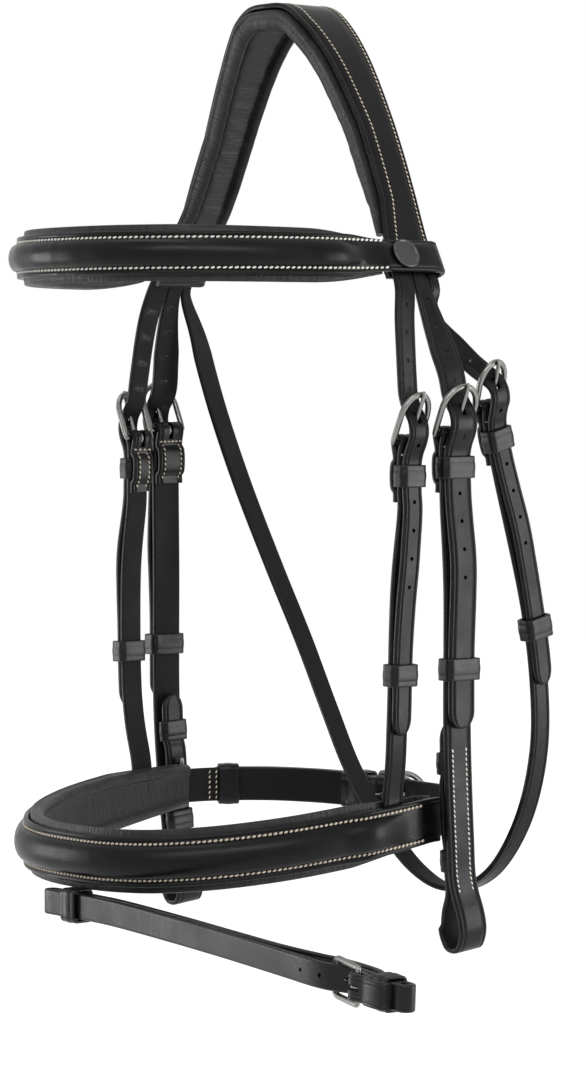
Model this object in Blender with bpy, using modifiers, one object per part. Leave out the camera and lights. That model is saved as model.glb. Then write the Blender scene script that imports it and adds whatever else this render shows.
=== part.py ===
"""Flash noseband bridle: padded headpiece, browband, noseband, flash strap, cheekpieces and throatlatch.

Metres, +Z up. The horse's nose points along -Y and its near (left) side is +X. The origin is the
poll seat, the middle of the padded headpiece's underside.
"""
import math

import bmesh
import bpy
import numpy as np
from mathutils import Matrix

# Leather and clearances
LEATHER = 0.003
GAP = 0.0003
SLACK = 0.0004
SEAM = 0.0006
EDGE_ROUND = 0.0006

# Straps
CHEEK_WIDTH = 0.018
NOSE_WIDTH = 0.013
THROAT_WIDTH = 0.013
FLASH_WIDTH = 0.013
REAR_WIDTH = 0.019
TIP_LENGTH = 0.009
HOLE_RADIUS = 0.0013
HOLE_PITCH = 0.0145

# Headpiece
HEAD_HALF = 0.104
HEAD_DROP = 0.153
HEAD_WIDTH = 0.041
SPLIT_WIDTHS = (0.0135, 0.0105, 0.0070)
SPLIT_GAP = 0.0008
FLARE_LENGTH = 0.035
PAD_OVERHANG = 0.0015
PAD_EDGE = 0.0105
PAD_CENTRE = 0.0085
PAD_END_DROP = 0.112
SEAT_HALF = 0.006

# Places of the hanging straps
SPREAD = 0.112
FAN = 0.080
HANG = 0.425

# Buckles
WIRE_RADIUS = 0.0013
TONGUE_RADIUS = 0.0010
BUCKLE_LENGTH = 0.027
BUCKLE_TILT = math.radians(25)
SIDE_ROOM = 0.001
TONGUE_PLAY = 0.0028
CROSSING_SHARE = 0.535
CHAPE_LENGTH = 0.030
FIXED_KEEPER_PLACE = 0.017
KEEPER_WIDTH = 0.0115
KEEPER_LEATHER = 0.0015
BULGE = 0.0105
ARCH_STEPS = 6
TONGUE_TURN = math.radians(200)
TONGUE_TURN_STEPS = 6
EYE_ANGLES = (-105, -70, -35, 0, 35, 70, 105)
STRAIGHT_SHARES = (-1.15, -0.6, 0.0, 0.45, 0.95, 1.4)

# Runners and tips
RUNNER_FROM_TIP = 0.031
RUNNER_TRAVEL = 0.005
BOW = 0.002
ROW_STEP = 0.020
BILLET_START = 0.004
TIP_STEP_SHARES = (1.0, 0.5, 0.16, 0.0)
TIP_SHARES = (1.0, 0.86, 0.55, 0.3)
HOLES_BELOW = 6
HOLE_DEPTH = 0.008
HOLE_SIDES = 6
RUNNER_SLACK = 0.0008
NOSE_TIP_DROP = 0.371
CHEEK_TIP_DROP = 0.369
THROAT_TAIL = 0.152
NOSE_STRAP_END = 0.431

# Browband
BROW_HEIGHT = 0.022
BROW_END_HEIGHT = 0.018
BROW_PAD_HEIGHT = 0.029
BROW_FRONT = 0.156
BROW_HALF = 0.100
BROW_ROLL = 0.0045
BROW_ROLL_WIDTH = 0.012
BROW_DROP = 0.1265
BROW_PAD_EDGE = 0.0065
BROW_PAD_CENTRE = 0.0050
BROW_SLACK = 0.0010
BROW_PAD_START = 0.023
BROW_TAPER = 0.022
BROW_STEPS = 3
BROW_STUD_ROW = 3
STUD_RADIUS = 0.0082
STUD_HEIGHT = 0.0020
STUD_RIM = 0.0005
STUD_RIM_WIDTH = 0.0012
STUD_SIDES = 16
MERGE = 0.00001

# Noseband
RING_HALF = 0.106
RING_FRONT = 0.150
RING_REAR = 0.066
RING_DROP = 0.4175
RING_SLOPE = 0.113
BAND_HEIGHT = 0.027
BAND_END_HEIGHT = 0.023
BAND_PAD_HEIGHT = 0.031
BAND_ROLL = 0.005
BAND_ROLL_WIDTH = 0.015
BAND_PAD_EDGE = 0.0080
BAND_PAD_CENTRE = 0.0062
BAND_TUCK = 0.020
REAR_STEP = 0.008
REAR_TUCK = 0.010
BAND_LIFT_SHARE = 0.32
ROLL_START_SHARE = 0.2
RING_MIDDLE = 0.27
REAR_TAIL = 0.118
REAR_KEEPER_PLACE = 0.104

# Bit loops with hook studs
LOOP_HEIGHT = 0.030
LOOP_INNER_WIDTH = 0.013
LOOP_BOTTOM = 0.484
LOOP_SHARES = ((1.25, 0.0), (0.95, 0.28), (0.62, 0.82), (0.33, 1.0), (0.12, 0.72), (0.0, 0.28))
LOWER_KEEPER_DROP = 0.438
UPPER_KEEPER_DROP = 0.387
STUD_DROP = 0.408
HOOK_TIP_DROP = 0.366
HOOK_WIDTH = 0.014
STUD_WIRE = 0.0013
STUD_PLATE = 0.0012
STUD_BASE_RADIUS = 0.0035
STUD_HOOK = 0.005

# Flash strap
FLASH_REACH = 0.280
FLASH_DROP = 0.012
FLASH_FORWARD = 0.018
FLASH_FOLD = 0.018
FLASH_TILT = math.radians(12)
FLASH_BULGE = 0.0078
FLASH_SHOULDER_SHARE = 0.2
FLASH_LOOP_PLACE = 0.02
FLASH_LAYER_GAP = 0.0025
FLASH_BACK_OUT = 0.0142
FLASH_CHAPE = 0.026
FLASH_TAIL = 0.027
FLASH_END = 0.033
FLASH_LOOP_SLACK = 0.0008

MAIN_OUT = (LEATHER + GAP) / 2
BILLET_OUT = MAIN_OUT + LEATHER + GAP
EYE_RADIUS = WIRE_RADIUS + GAP + LEATHER / 2
ARCH_TOP = LEATHER / 2 + SEAM + PAD_CENTRE
STEEP_PROFILE_SHARES = ((-1.25, 0.1), (-0.92, 0.17), (-0.66, 0.45), (-0.42, 0.88), (-0.2, 1.0),
                        (0.0, 0.86), (0.2, 0.6))
STEEP_SHAPE = (STEEP_PROFILE_SHARES, BULGE)

# Places of the straps' routes, in shares of the spread, the fan and the hanging length
ARCH_SHARES = ((0.0, 0.0), (0.14, 0.007), (0.26, 0.059), (0.39, 0.16), (0.52, 0.303), (0.69, 0.532),
               (0.86, 0.80), (1.0, 0.99))
HEAD_EDGE_SHARES = ((0.0, -0.50, 0.38), (0.26, -0.46, 0.38), (0.43, -0.33, 0.39), (0.62, -0.22, 0.39),
                    (0.79, -0.24, 0.37), (0.90, -0.40, 0.34), (0.96, -0.46, 0.31), (1.0, -0.47, 0.29))
NOSE_ABOVE_SHARES = ((0.962, -0.20, 0.375),)
NOSE_HINGE_SHARES = (1.0, -0.232, 0.520)
NOSE_LEAN_SHARES = (0.035, -0.06, 1.0)
NOSE_BELOW_SHARES = ((1.0, -0.29, 0.700), (0.985, -0.30, 0.85))
NOSE_END_SHARES = ((-0.275, 0.94), (-0.275, 0.98), (-0.275, 1.04))
CHEEK_ABOVE_SHARES = ((0.985, 0.015, 0.372),)
CHEEK_HINGE_SHARES = (1.06, 0.082, 0.510)
CHEEK_LEAN_SHARES = (0.04, 0.07, 1.0)
CHEEK_BELOW_SHARES = ((1.075, 0.105, 0.70), (1.075, 0.105, 0.86), (1.07, 0.13, 0.96), (1.06, 0.175, 1.06),
                      (1.05, 0.22, 1.15))
THROAT_ABOVE_SHARES = ((0.912, 0.095, 0.352), (0.925, 0.13, 0.378))
THROAT_HINGE_SHARES = (1.01, 0.47, 0.478)
THROAT_LEAN_SHARES = (0.0, 1.3, 0.9)
THROAT_BELOW_SHARES = ((1.0, 0.84, 0.715), (0.99, 0.95, 0.82), (0.96, 0.99, 0.91), (0.90, 0.93, 0.995),
                       (0.79, 0.80, 1.06), (0.62, 0.67, 1.082), (0.42, 0.60, 1.06), (0.18, 0.58, 1.005),
                       (-0.06, 0.62, 0.945), (-0.28, 0.68, 0.875), (-0.50, 0.70, 0.785), (-0.68, 0.64, 0.69),
                       (-0.81, 0.51, 0.585), (-0.88, 0.36, 0.485), (-0.915, 0.22, 0.39))
THROAT_FACING_SHARES = ((1, 0, 0), (1, 0, 0), (1, 0, 0), (1, 0, -0.3), (0.7, 0, -0.8), (0.2, 0, -1),
                        (-0.3, 0, -1), (-0.6, 0, -0.8), (-0.8, 0, -0.6), (-0.9, 0, -0.5), (-1, 0, -0.4),
                        (-1, 0, -0.3), (-1, 0, -0.2), (-1, 0, -0.15), (-1, 0, -0.1), (-1, 0, -0.1))

FLAT_PROFILE_SHARES = ((-1.25, 0.0), (-0.92, 0.17), (-0.66, 0.58), (-0.42, 0.95), (-0.2, 1.0), (0.0, 0.92),
                       (0.2, 0.76))
FLASH_SHAPE = (FLAT_PROFILE_SHARES, FLASH_BULGE)
FLASH_SHARES = ((-0.11, 0.0, 0.0), (0.0, 0.0, 0.0), (0.08, 0.0, 0.0), (0.2, 0.1, 0.05), (0.5, 0.4, 0.35),
                (0.86, 0.82, 0.82), (1.03, 1.02, 1.02))
FLASH_BACK_SHARES = ((0.1, 0.85), (-0.15, 1.0), (-1.1, 1.0), (-1.6, 0.8), (-2.6, 0.5))

# Plans of the browband and the noseband: shares of the half width, and of the front or rear reach
BROW_MIDDLE = 0.3
BROW_LOOP_SHARES = (1.0, 0.5, 0.0, -0.5)
BROW_REACH_SHARE = 1.27
BROW_SHARES = ((0.985, -0.22), (0.975, -0.42), (0.86, -0.67), (0.66, -0.85), (0.42, -0.95), (0.2, -0.99),
               (0.0, -1.0))
BAND_SHARES = ((0.985, 0.12), (0.995, 0.0), (1.0, -0.16), (0.98, -0.36), (0.90, -0.58), (0.74, -0.78),
               (0.52, -0.92), (0.27, -0.985), (0.0, -1.0))
REAR_NEAR_SHARES = ((1.0, -0.16), (0.995, 0.0), (0.965, 0.24), (0.88, 0.55), (0.70, 0.83), (0.50, 0.96))
REAR_OFF_SHARES = ((-0.56, 0.93), (-0.76, 0.76), (-0.90, 0.48), (-0.975, 0.18), (-0.995, 0.0), (-1.0, -0.16))
REAR_BAR_SHARE = -0.03
ROLL_SHARES = ((-1.0, 0.0, 0.0), (0.0, -1.0, 0.0), (0.0, -0.5, 0.85), (0.0, 0.0, 1.0), (0.0, 0.5, 0.85),
               (0.0, 1.0, 0.0), (1.0, 0.0, 0.0))
SECTION_SHARES = ((-0.44, 0.0, 0.0), (0.44, 0.0, 0.0), (0.5, 0.35, 0.0), (0.48, 0.75, 0.0), (0.41, 1.0, 0.0),
                  (0.32, 0.9, 0.1), (0.22, 0.0, 1.0), (-0.22, 0.0, 1.0), (-0.32, 0.9, 0.1), (-0.41, 1.0, 0.0),
                  (-0.48, 0.75, 0.0), (-0.5, 0.35, 0.0))

# Sides and surfaces
NEAR = 1
OFF = -1
LEATHER_COLOUR = (0.020, 0.020, 0.021)
LINING_COLOUR = (0.035, 0.036, 0.038)
STEEL_COLOUR = (0.50, 0.50, 0.50)
LEATHER_ROUGHNESS = 0.42
LINING_ROUGHNESS = 0.62
STEEL_ROUGHNESS = 0.28

COLLECTION_NAME = "flash_noseband_bridle"
CUTTER_COLLECTION_NAME = "cutters"


def start_clean():
    """Empty the scene and make the two collections."""
    for item in list(bpy.data.objects):
        bpy.data.objects.remove(item, do_unlink=True)
    parts = bpy.data.collections.new(COLLECTION_NAME)
    cutters = bpy.data.collections.new(CUTTER_COLLECTION_NAME)
    bpy.context.scene.collection.children.link(parts)
    bpy.context.scene.collection.children.link(cutters)
    return parts, cutters


PARTS, CUTTERS = start_clean()


def finish(name, colour, roughness, metallic=0.0):
    """A plain surface for one sub-part."""
    material = bpy.data.materials.new(name)
    material.use_nodes = True
    shader = material.node_tree.nodes["Principled BSDF"]
    shader.inputs["Base Color"].default_value = (*colour, 1.0)
    shader.inputs["Roughness"].default_value = roughness
    shader.inputs["Metallic"].default_value = metallic
    material.diffuse_color = (*colour, 1.0)
    return material


def leather(name):
    return finish(name, LEATHER_COLOUR, LEATHER_ROUGHNESS)


def lining(name):
    return finish(name, LINING_COLOUR, LINING_ROUGHNESS)


def steel(name):
    return finish(name, STEEL_COLOUR, STEEL_ROUGHNESS, 1.0)


def add_object(name, data, material, matrix=None):
    """Put a mesh or a curve in the parts collection under its node name."""
    item = bpy.data.objects.new(name, data)
    data.materials.append(material)
    if matrix is not None:
        item.matrix_world = matrix
    PARTS.objects.link(item)
    return item


def smooth(points, steps):
    """An even curve through the points, with the given steps from each to the next."""
    places = [np.array(p, float) for p in points]
    places = [2 * places[0] - places[1]] + places + [2 * places[-1] - places[-2]]
    result = []
    for index in range(1, len(places) - 2):
        before, start, end, after = places[index - 1:index + 3]
        for step in range(steps):
            t = step / steps
            linear = (end - before) * t
            square = (2 * before - 5 * start + 4 * end - after) * t ** 2
            cube = (3 * start - before - 3 * end + after) * t ** 3
            result.append(start + (linear + square + cube) / 2)
    result.append(places[-2])
    return result


def unit(vector):
    return vector / np.linalg.norm(vector)


class Route:
    """A strap's way: points along it, each with the direction its face looks in."""

    def __init__(self, places, facings, steps=8):
        self.points = smooth(places, steps)
        self.facings = smooth(facings, steps)
        gaps = [np.linalg.norm(b - a) for a, b in zip(self.points, self.points[1:])]
        self.reach = np.concatenate([[0.0], np.cumsum(gaps)])
        self.length = self.reach[-1]

    def pick(self, values, s):
        return np.array([np.interp(s, self.reach, [v[k] for v in values]) for k in range(3)])

    def along(self, s):
        """Direction of travel at the distance s."""
        step = self.length / 400
        low = min(max(s - step, 0.0), self.length - 2 * step)
        return unit(self.pick(self.points, low + 2 * step) - self.pick(self.points, low))

    def axes(self, s):
        """Across, along and outward at the distance s."""
        along = self.along(s)
        facing = self.pick(self.facings, s)
        outward = unit(facing - along * np.dot(facing, along))
        return np.cross(along, outward), along, outward

    def centre(self, s):
        """The point at the distance s, which runs straight on past either end."""
        extra = s - min(max(s, 0.0), self.length)
        return self.pick(self.points, s) + self.along(s) * extra

    def at(self, s, out=0.0, side=0.0):
        across, along, outward = self.axes(s)
        return self.centre(s) + outward * out + across * side

    def matrix(self, s, out=0.0):
        """Place of a piece whose X is across, Y along and Z outward."""
        across, along, outward = self.axes(s)
        place = self.centre(s) + outward * out
        columns = Matrix((across, along, outward)).transposed().to_4x4()
        return Matrix.Translation(place) @ columns

    def find(self, axis, value):
        """The distance at which the route first crosses a level of X, Y or Z."""
        levels = [point[axis] - value for point in self.points]
        for index in range(len(levels) - 1):
            if levels[index] * levels[index + 1] <= 0:
                share = levels[index] / (levels[index] - levels[index + 1])
                return self.reach[index] + share * (self.reach[index + 1] - self.reach[index])
        raise ValueError("route never crosses the level")


def sheet(name, rows, closed=False):
    """A surface through rows of points, all of one length."""
    mesh = bpy.data.meshes.new(name)
    shape = bmesh.new()
    grid = [[shape.verts.new(point) for point in row] for row in rows]
    pairs = list(zip(grid, grid[1:]))
    if closed:
        pairs.append((grid[-1], grid[0]))
    for first, second in pairs:
        for a, b, c, d in zip(first, first[1:], second[1:], second):
            shape.faces.new((a, b, c, d))
    shape.to_mesh(mesh)
    shape.free()
    return mesh


def thicken(item, thickness, rounding=0.0):
    """Give an open surface its leather thickness and eased edges."""
    shell = item.modifiers.new("thickness", "SOLIDIFY")
    shell.thickness = thickness
    shell.offset = 0.0
    shell.use_even_offset = True
    if rounding:
        edge = item.modifiers.new("edges", "BEVEL")
        edge.width = rounding
        edge.segments = 1
        edge.limit_method = "ANGLE"
        edge.angle_limit = math.radians(50)


def strap_rows(route, line, width):
    """Rows across a strap whose line gives distance and height over the route."""
    return [(route.at(s, out, -width / 2), route.at(s, out, width / 2)) for s, out in line]


def flared(width, start_width, distance):
    """Width of a strap at a distance from the split, where it starts narrower."""
    return start_width + (width - start_width) * min(1.0, distance / FLARE_LENGTH)


def billet_rows(route, line, width, start_width):
    """Rows of a billet, widening from its start and narrowing to a round tip over its last four."""
    rows = []
    for index, (s, out) in enumerate(line):
        past = index - (len(line) - 4)
        half = flared(width, start_width, s) / 2 * (TIP_SHARES[past] if past >= 0 else 1.0)
        rows.append((route.at(s, out, -half), route.at(s, out, half)))
    return rows


def lay_strap(name, rows, material, rounding=EDGE_ROUND):
    item = add_object(name, sheet(name, rows), material)
    thicken(item, LEATHER, rounding)
    return item


def tip_steps(end):
    """Distances of the rows that shape a rounded strap tip."""
    return [end - TIP_LENGTH * share for share in TIP_STEP_SHARES]


def cut_away(item, cutter):
    cutter.hide_render = True
    cutter.display_type = "WIRE"
    CUTTERS.objects.link(cutter)
    cut = item.modifiers.new("cut", "BOOLEAN")
    cut.operation = "DIFFERENCE"
    cut.solver = "EXACT"
    cut.object = cutter


def punch(item, matrices, radius, depth):
    """Round holes through a strap, each along the Z of its own matrix."""
    mesh = bpy.data.meshes.new(item.name + "_holes")
    shape = bmesh.new()
    for matrix in matrices:
        bmesh.ops.create_cone(shape, cap_ends=True, segments=HOLE_SIDES, radius1=radius, radius2=radius,
                              depth=depth, matrix=matrix)
    shape.to_mesh(mesh)
    shape.free()
    cut_away(item, bpy.data.objects.new(mesh.name, mesh))


def wire(name, points, radius, material, matrix, closed=False, radii=None, resolution=1):
    """A bent wire with round section."""
    curve = bpy.data.curves.new(name, "CURVE")
    curve.dimensions = "3D"
    curve.bevel_depth = radius
    curve.bevel_resolution = resolution
    curve.use_fill_caps = not closed
    spline = curve.splines.new("POLY")
    spline.points.add(len(points) - 1)
    for index, (point, place) in enumerate(zip(spline.points, points)):
        point.co = (*place, 1.0)
        point.radius = radii[index] if radii else 1.0
    spline.use_cyclic_u = closed
    return add_object(name, curve, material, matrix)


def band_loop(name, half_width, low, high, height, thickness, matrix, material, corner_steps=3):
    """A leather loop round a flat stack: X across, Z from low to high, Y along the strap."""
    radius = min(thickness * 1.2, (high - low) / 2)
    centres = ((half_width - radius, high - radius, 0), (radius - half_width, high - radius, 90),
               (radius - half_width, low + radius, 180), (half_width - radius, low + radius, 270))
    rows = []
    for x, z, start in centres:
        for step in range(corner_steps + 1):
            angle = math.radians(start + 90 * step / corner_steps)
            place = (x + radius * math.cos(angle), z + radius * math.sin(angle))
            rows.append(((place[0], -height / 2, place[1]), (place[0], height / 2, place[1])))
    item = add_object(name, sheet(name, rows, closed=True), material, matrix)
    thicken(item, thickness)
    return item


def chape_line(hinge, strap_end, length):
    """A buckle strap's line: its turned-in end, the eye round the bar and the way down."""
    bump = MAIN_OUT - LEATHER - KEEPER_LEATHER - 2 * GAP
    keeper = hinge + FIXED_KEEPER_PLACE
    half = KEEPER_WIDTH / 2 + SLACK
    slope = KEEPER_WIDTH / 6
    inner = [(hinge + length, -MAIN_OUT), (keeper + half + slope, -MAIN_OUT), (keeper + half, bump),
             (keeper - half, bump), (keeper - half - slope, -MAIN_OUT)]
    eye = []
    for angle in EYE_ANGLES:
        turn = math.radians(angle)
        eye.append((hinge - EYE_RADIUS * math.cos(turn), EYE_RADIUS * math.sin(turn)))
    return inner + eye + [(hinge + EYE_RADIUS * 2, MAIN_OUT)] + strap_end


def spaced(start, end, step):
    count = max(1, round(abs(end - start) / step))
    return [start + (end - start) * k / count for k in range(count + 1)]


def billet_line(start, hinge, tip, bow, shape, step=ROW_STEP):
    """A billet's line: behind the buckle's top, out through it, over the bar and down to its tip."""
    profile, bulge = shape
    top = [(hinge + along * BUCKLE_LENGTH, out * bulge) for along, out in profile]
    top_start, top_out = top[0]
    lead = []
    for s in spaced(start, top_start, step)[:-1]:
        lead.append((s, top_out * (s - start) / (top_start - start)))
    keeper_top = hinge + FIXED_KEEPER_PLACE - KEEPER_WIDTH / 2 - SLACK
    keeper_end = keeper_top + KEEPER_WIDTH + 2 * SLACK
    down = [(keeper_top, BILLET_OUT), (keeper_end, BILLET_OUT)]
    clear = RUNNER_FROM_TIP + KEEPER_WIDTH / 2 + RUNNER_TRAVEL * 1.5 if bow else TIP_LENGTH + step
    straight = tip - clear
    if straight > keeper_end:
        for s in spaced(keeper_end, straight, step)[1:]:
            share = (s - keeper_end) / (straight - keeper_end)
            down.append((s, BILLET_OUT + bow * math.sin(math.pi * share) ** 2))
    return lead + top + down + [(s, BILLET_OUT) for s in tip_steps(tip)]


def buckle_points(half, length, shoulder_share):
    """A buckle frame's outline in its own plane: straight bar, legs and arched top."""
    leg = half + SIDE_ROOM + WIRE_RADIUS
    shoulder = length * (1 - shoulder_share)
    points = [(-leg, 0.0, 0.0), (leg, 0.0, 0.0), (leg, -shoulder / 2, 0.0)]
    for step in range(ARCH_STEPS + 1):
        angle = math.pi * step / ARCH_STEPS
        rise = (length - shoulder) * math.sin(angle)
        points.append((leg * math.cos(angle), -shoulder - rise, 0.0))
    points.append((-leg, -shoulder / 2, 0.0))
    return points


def tongue_points(length):
    """A tongue: most of a turn round the bar, straight up to the frame's top and just over it."""
    ring = WIRE_RADIUS + GAP + TONGUE_RADIUS
    points = []
    for step in range(TONGUE_TURN_STEPS + 1):
        angle = TONGUE_TURN * (step / TONGUE_TURN_STEPS - 1)
        points.append((0.0, -ring * math.sin(angle), ring * math.cos(angle)))
    points += [(0.0, -length / 2, ring), (0.0, -length, ring),
               (0.0, -length - WIRE_RADIUS - TONGUE_RADIUS, ring - TONGUE_RADIUS)]
    return points


def cut_block(item, size, matrix):
    mesh = bpy.data.meshes.new(item.name + "_slot")
    shape = bmesh.new()
    bmesh.ops.create_cube(shape, size=1.0, matrix=matrix @ Matrix.Diagonal((*size, 1.0)))
    shape.to_mesh(mesh)
    shape.free()
    cut_away(item, bpy.data.objects.new(mesh.name, mesh))


def buckle(prefix, route, hinge, width, strap, billet, tilt=BUCKLE_TILT, top=BILLET_OUT, shoulder_share=0.45):
    """Frame, tongue and fixed keeper on a strap's eye, with the tongue through the billet."""
    tilted = route.matrix(hinge) @ Matrix.Rotation(-tilt, 4, "X")
    outline = buckle_points(width / 2, BUCKLE_LENGTH, shoulder_share)
    wire(prefix + "_buckle_frame", outline, WIRE_RADIUS, steel(prefix + "_frame"), tilted, closed=True)
    wire(prefix + "_buckle_tongue", tongue_points(BUCKLE_LENGTH), TONGUE_RADIUS,
         steel(prefix + "_tongue"), tilted)
    slot = 2 * (TONGUE_RADIUS + SLACK)
    eye_reach = EYE_RADIUS + LEATHER / 2 + SLACK
    cut_block(strap, (slot, 2 * eye_reach, 2 * eye_reach), route.matrix(hinge))
    ring = WIRE_RADIUS + GAP + TONGUE_RADIUS
    crossing = Matrix.Translation((0.0, -BUCKLE_LENGTH * CROSSING_SHARE, ring + TONGUE_PLAY / 4))
    cut_block(billet, (slot, BUCKLE_LENGTH * CROSSING_SHARE, 2 * TONGUE_PLAY), tilted @ crossing)
    low = MAIN_OUT - LEATHER / 2 - GAP - KEEPER_LEATHER / 2
    high = top + LEATHER / 2 + GAP + KEEPER_LEATHER / 2
    half = width / 2 + SLACK + KEEPER_LEATHER / 2
    band_loop(prefix + "_fixed_keeper", half, low, high, KEEPER_WIDTH, KEEPER_LEATHER,
              route.matrix(hinge + FIXED_KEEPER_PLACE), leather(prefix + "_fixed_keeper"))


def runner(prefix, route, s, width):
    """A sliding keeper round strap and billet."""
    low = MAIN_OUT - LEATHER / 2 - RUNNER_SLACK - KEEPER_LEATHER / 2
    high = BILLET_OUT + LEATHER / 2 + RUNNER_SLACK + KEEPER_LEATHER / 2
    half = width / 2 + RUNNER_SLACK + KEEPER_LEATHER / 2
    band_loop(prefix + "_runner", half, low, high, KEEPER_WIDTH, KEEPER_LEATHER, route.matrix(s),
              leather(prefix + "_runner"))


def place(shares, side=NEAR):
    """A place given in shares, on the near or the off side."""
    return np.array((side * shares[0] * SPREAD, shares[1] * FAN, -shares[2] * HANG))


def head_edges(x):
    """Front and rear edge of the headpiece at a place along X."""
    level = min(abs(x) / HEAD_HALF, 1.0)
    places, front, rear = zip(*HEAD_EDGE_SHARES)
    return np.interp(level, places, front) * HEAD_WIDTH, np.interp(level, places, rear) * HEAD_WIDTH


def split_place(column, side):
    """Where one of the billets leaves the headpiece."""
    front, rear = head_edges(HEAD_HALF)
    shares = np.cumsum((0.0,) + SPLIT_WIDTHS) / sum(SPLIT_WIDTHS)
    share = (shares[column] + shares[column + 1]) / 2
    drop = ARCH_TOP - ARCH_SHARES[-1][1] * HEAD_DROP
    return np.array((side * HEAD_HALF, front + (rear - front) * share, drop))


def hanging_route(column, above, hinge, lean, below, side, facings=None):
    """A route from the split straight through its buckle and on, and the distance of its bar."""
    bar = place(hinge, side)
    slope = unit(place(lean, side))
    straight = [bar + slope * BUCKLE_LENGTH * share for share in STRAIGHT_SHARES]
    places = [split_place(column, side)] + [place(p, side) for p in above] + straight + below
    facing = [np.array((side, 0.0, 0.0))] * (len(places) - len(below))
    facing += [np.array((side * f[0], f[1], f[2])) for f in facings or [(1, 0, 0)] * len(below)]
    route = Route(places, facing)
    return route, route.find(2, bar[2])


def arch_line(steps):
    """The headpiece's way over the poll, from the off side to the near side, as X and Z."""
    half = [(x * HEAD_HALF, ARCH_TOP - z * HEAD_DROP) for x, z in ARCH_SHARES]
    return smooth([(-x, z) for x, z in reversed(half[1:])] + half, steps)


def build_headpiece(billets):
    """Crown strap whose ends split into billets, each given by side, column and rows."""
    arch = arch_line(2)
    shares = np.cumsum((0.0,) + SPLIT_WIDTHS) / sum(SPLIT_WIDTHS)
    mesh = bpy.data.meshes.new("headpiece_leather")
    shape = bmesh.new()
    grid = []
    for x, z in arch:
        front, rear = head_edges(x)
        grid.append([shape.verts.new((x, front + (rear - front) * share, z)) for share in shares])
    for first, second in zip(grid, grid[1:]):
        for a, b, c, d in zip(first, first[1:], second[1:], second):
            shape.faces.new((a, b, c, d))
    for side, column, rows in billets:
        last = grid[-1] if side == NEAR else grid[0]
        previous = (last[column], last[column + 1])
        for row in rows:
            current = [shape.verts.new(p) for p in sorted(row, key=lambda point: point[1])]
            shape.faces.new((previous[0], previous[1], current[1], current[0]))
            previous = current
    bmesh.ops.recalc_face_normals(shape, faces=shape.faces)
    shape.to_mesh(mesh)
    shape.free()
    item = add_object("headpiece_leather", mesh, leather("headpiece_leather"))
    thicken(item, LEATHER, EDGE_ROUND)
    return item


def build_side_straps(word, side):
    """Routes and billet rows of one side's noseband strap and cheekpiece."""
    nose_below = [place(p, side) for p in NOSE_BELOW_SHARES]
    nose_below += [np.array((side * RING_HALF, y * FAN, -z * HANG)) for y, z in NOSE_END_SHARES]
    nose, nose_bar = hanging_route(0, NOSE_ABOVE_SHARES, NOSE_HINGE_SHARES, NOSE_LEAN_SHARES, nose_below, side)
    cheek_below = [place(p, side) for p in CHEEK_BELOW_SHARES]
    cheek, cheek_bar = hanging_route(1, CHEEK_ABOVE_SHARES, CHEEK_HINGE_SHARES, CHEEK_LEAN_SHARES,
                                     cheek_below, side)
    nose_tip = nose.find(2, -NOSE_TIP_DROP)
    cheek_tip = cheek.find(2, -CHEEK_TIP_DROP)
    nose_line = billet_line(BILLET_START, nose_bar, nose_tip, BOW, STEEP_SHAPE)
    cheek_line = billet_line(BILLET_START, cheek_bar, cheek_tip, BOW, STEEP_SHAPE)
    return {"nose": (nose, nose_bar, nose_tip, nose_line), "cheek": (cheek, cheek_bar, cheek_tip, cheek_line)}


def hole_matrices(route, bar, line, tip, above):
    """Places of a billet's holes, the one in use left out."""
    used = bar - BUCKLE_LENGTH * CROSSING_SHARE * math.cos(BUCKLE_TILT)
    reach = [s for s, _ in line]
    heights = [out for _, out in line]
    places = [used + HOLE_PITCH * k for k in range(-above, HOLES_BELOW + 1) if k]
    return [route.matrix(s, np.interp(s, reach, heights)) for s in places if s < tip - TIP_LENGTH]


def bit_loop_line(bottom, lower_keeper, upper_keeper, stud, tip):
    """The cheekpiece's lower end: round the bit ring's space and up inside to its tip."""
    half = (LOOP_INNER_WIDTH + LEATHER) / 2
    outer = [(bottom - along * LOOP_HEIGHT, MAIN_OUT + (half - MAIN_OUT) * out)
             for along, out in LOOP_SHARES]
    inner_out = MAIN_OUT - LEATHER - KEEPER_LEATHER - 2 * GAP
    inner = [(s, -out) for s, out in reversed(outer[1:])]
    reach = KEEPER_WIDTH / 2 + SLACK
    tail = [(lower_keeper + reach, inner_out), (lower_keeper - reach, inner_out),
            ((lower_keeper + stud) / 2, inner_out - BOW / 2), (stud, inner_out - BOW / 2),
            ((stud + upper_keeper) / 2, inner_out - BOW / 2),
            (upper_keeper + reach, inner_out), (upper_keeper - reach, inner_out)]
    end = [(s, inner_out) for s in (tip + TIP_LENGTH, tip + TIP_LENGTH / 2, tip + TIP_LENGTH / 6, tip)]
    return outer + inner, tail + end


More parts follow.
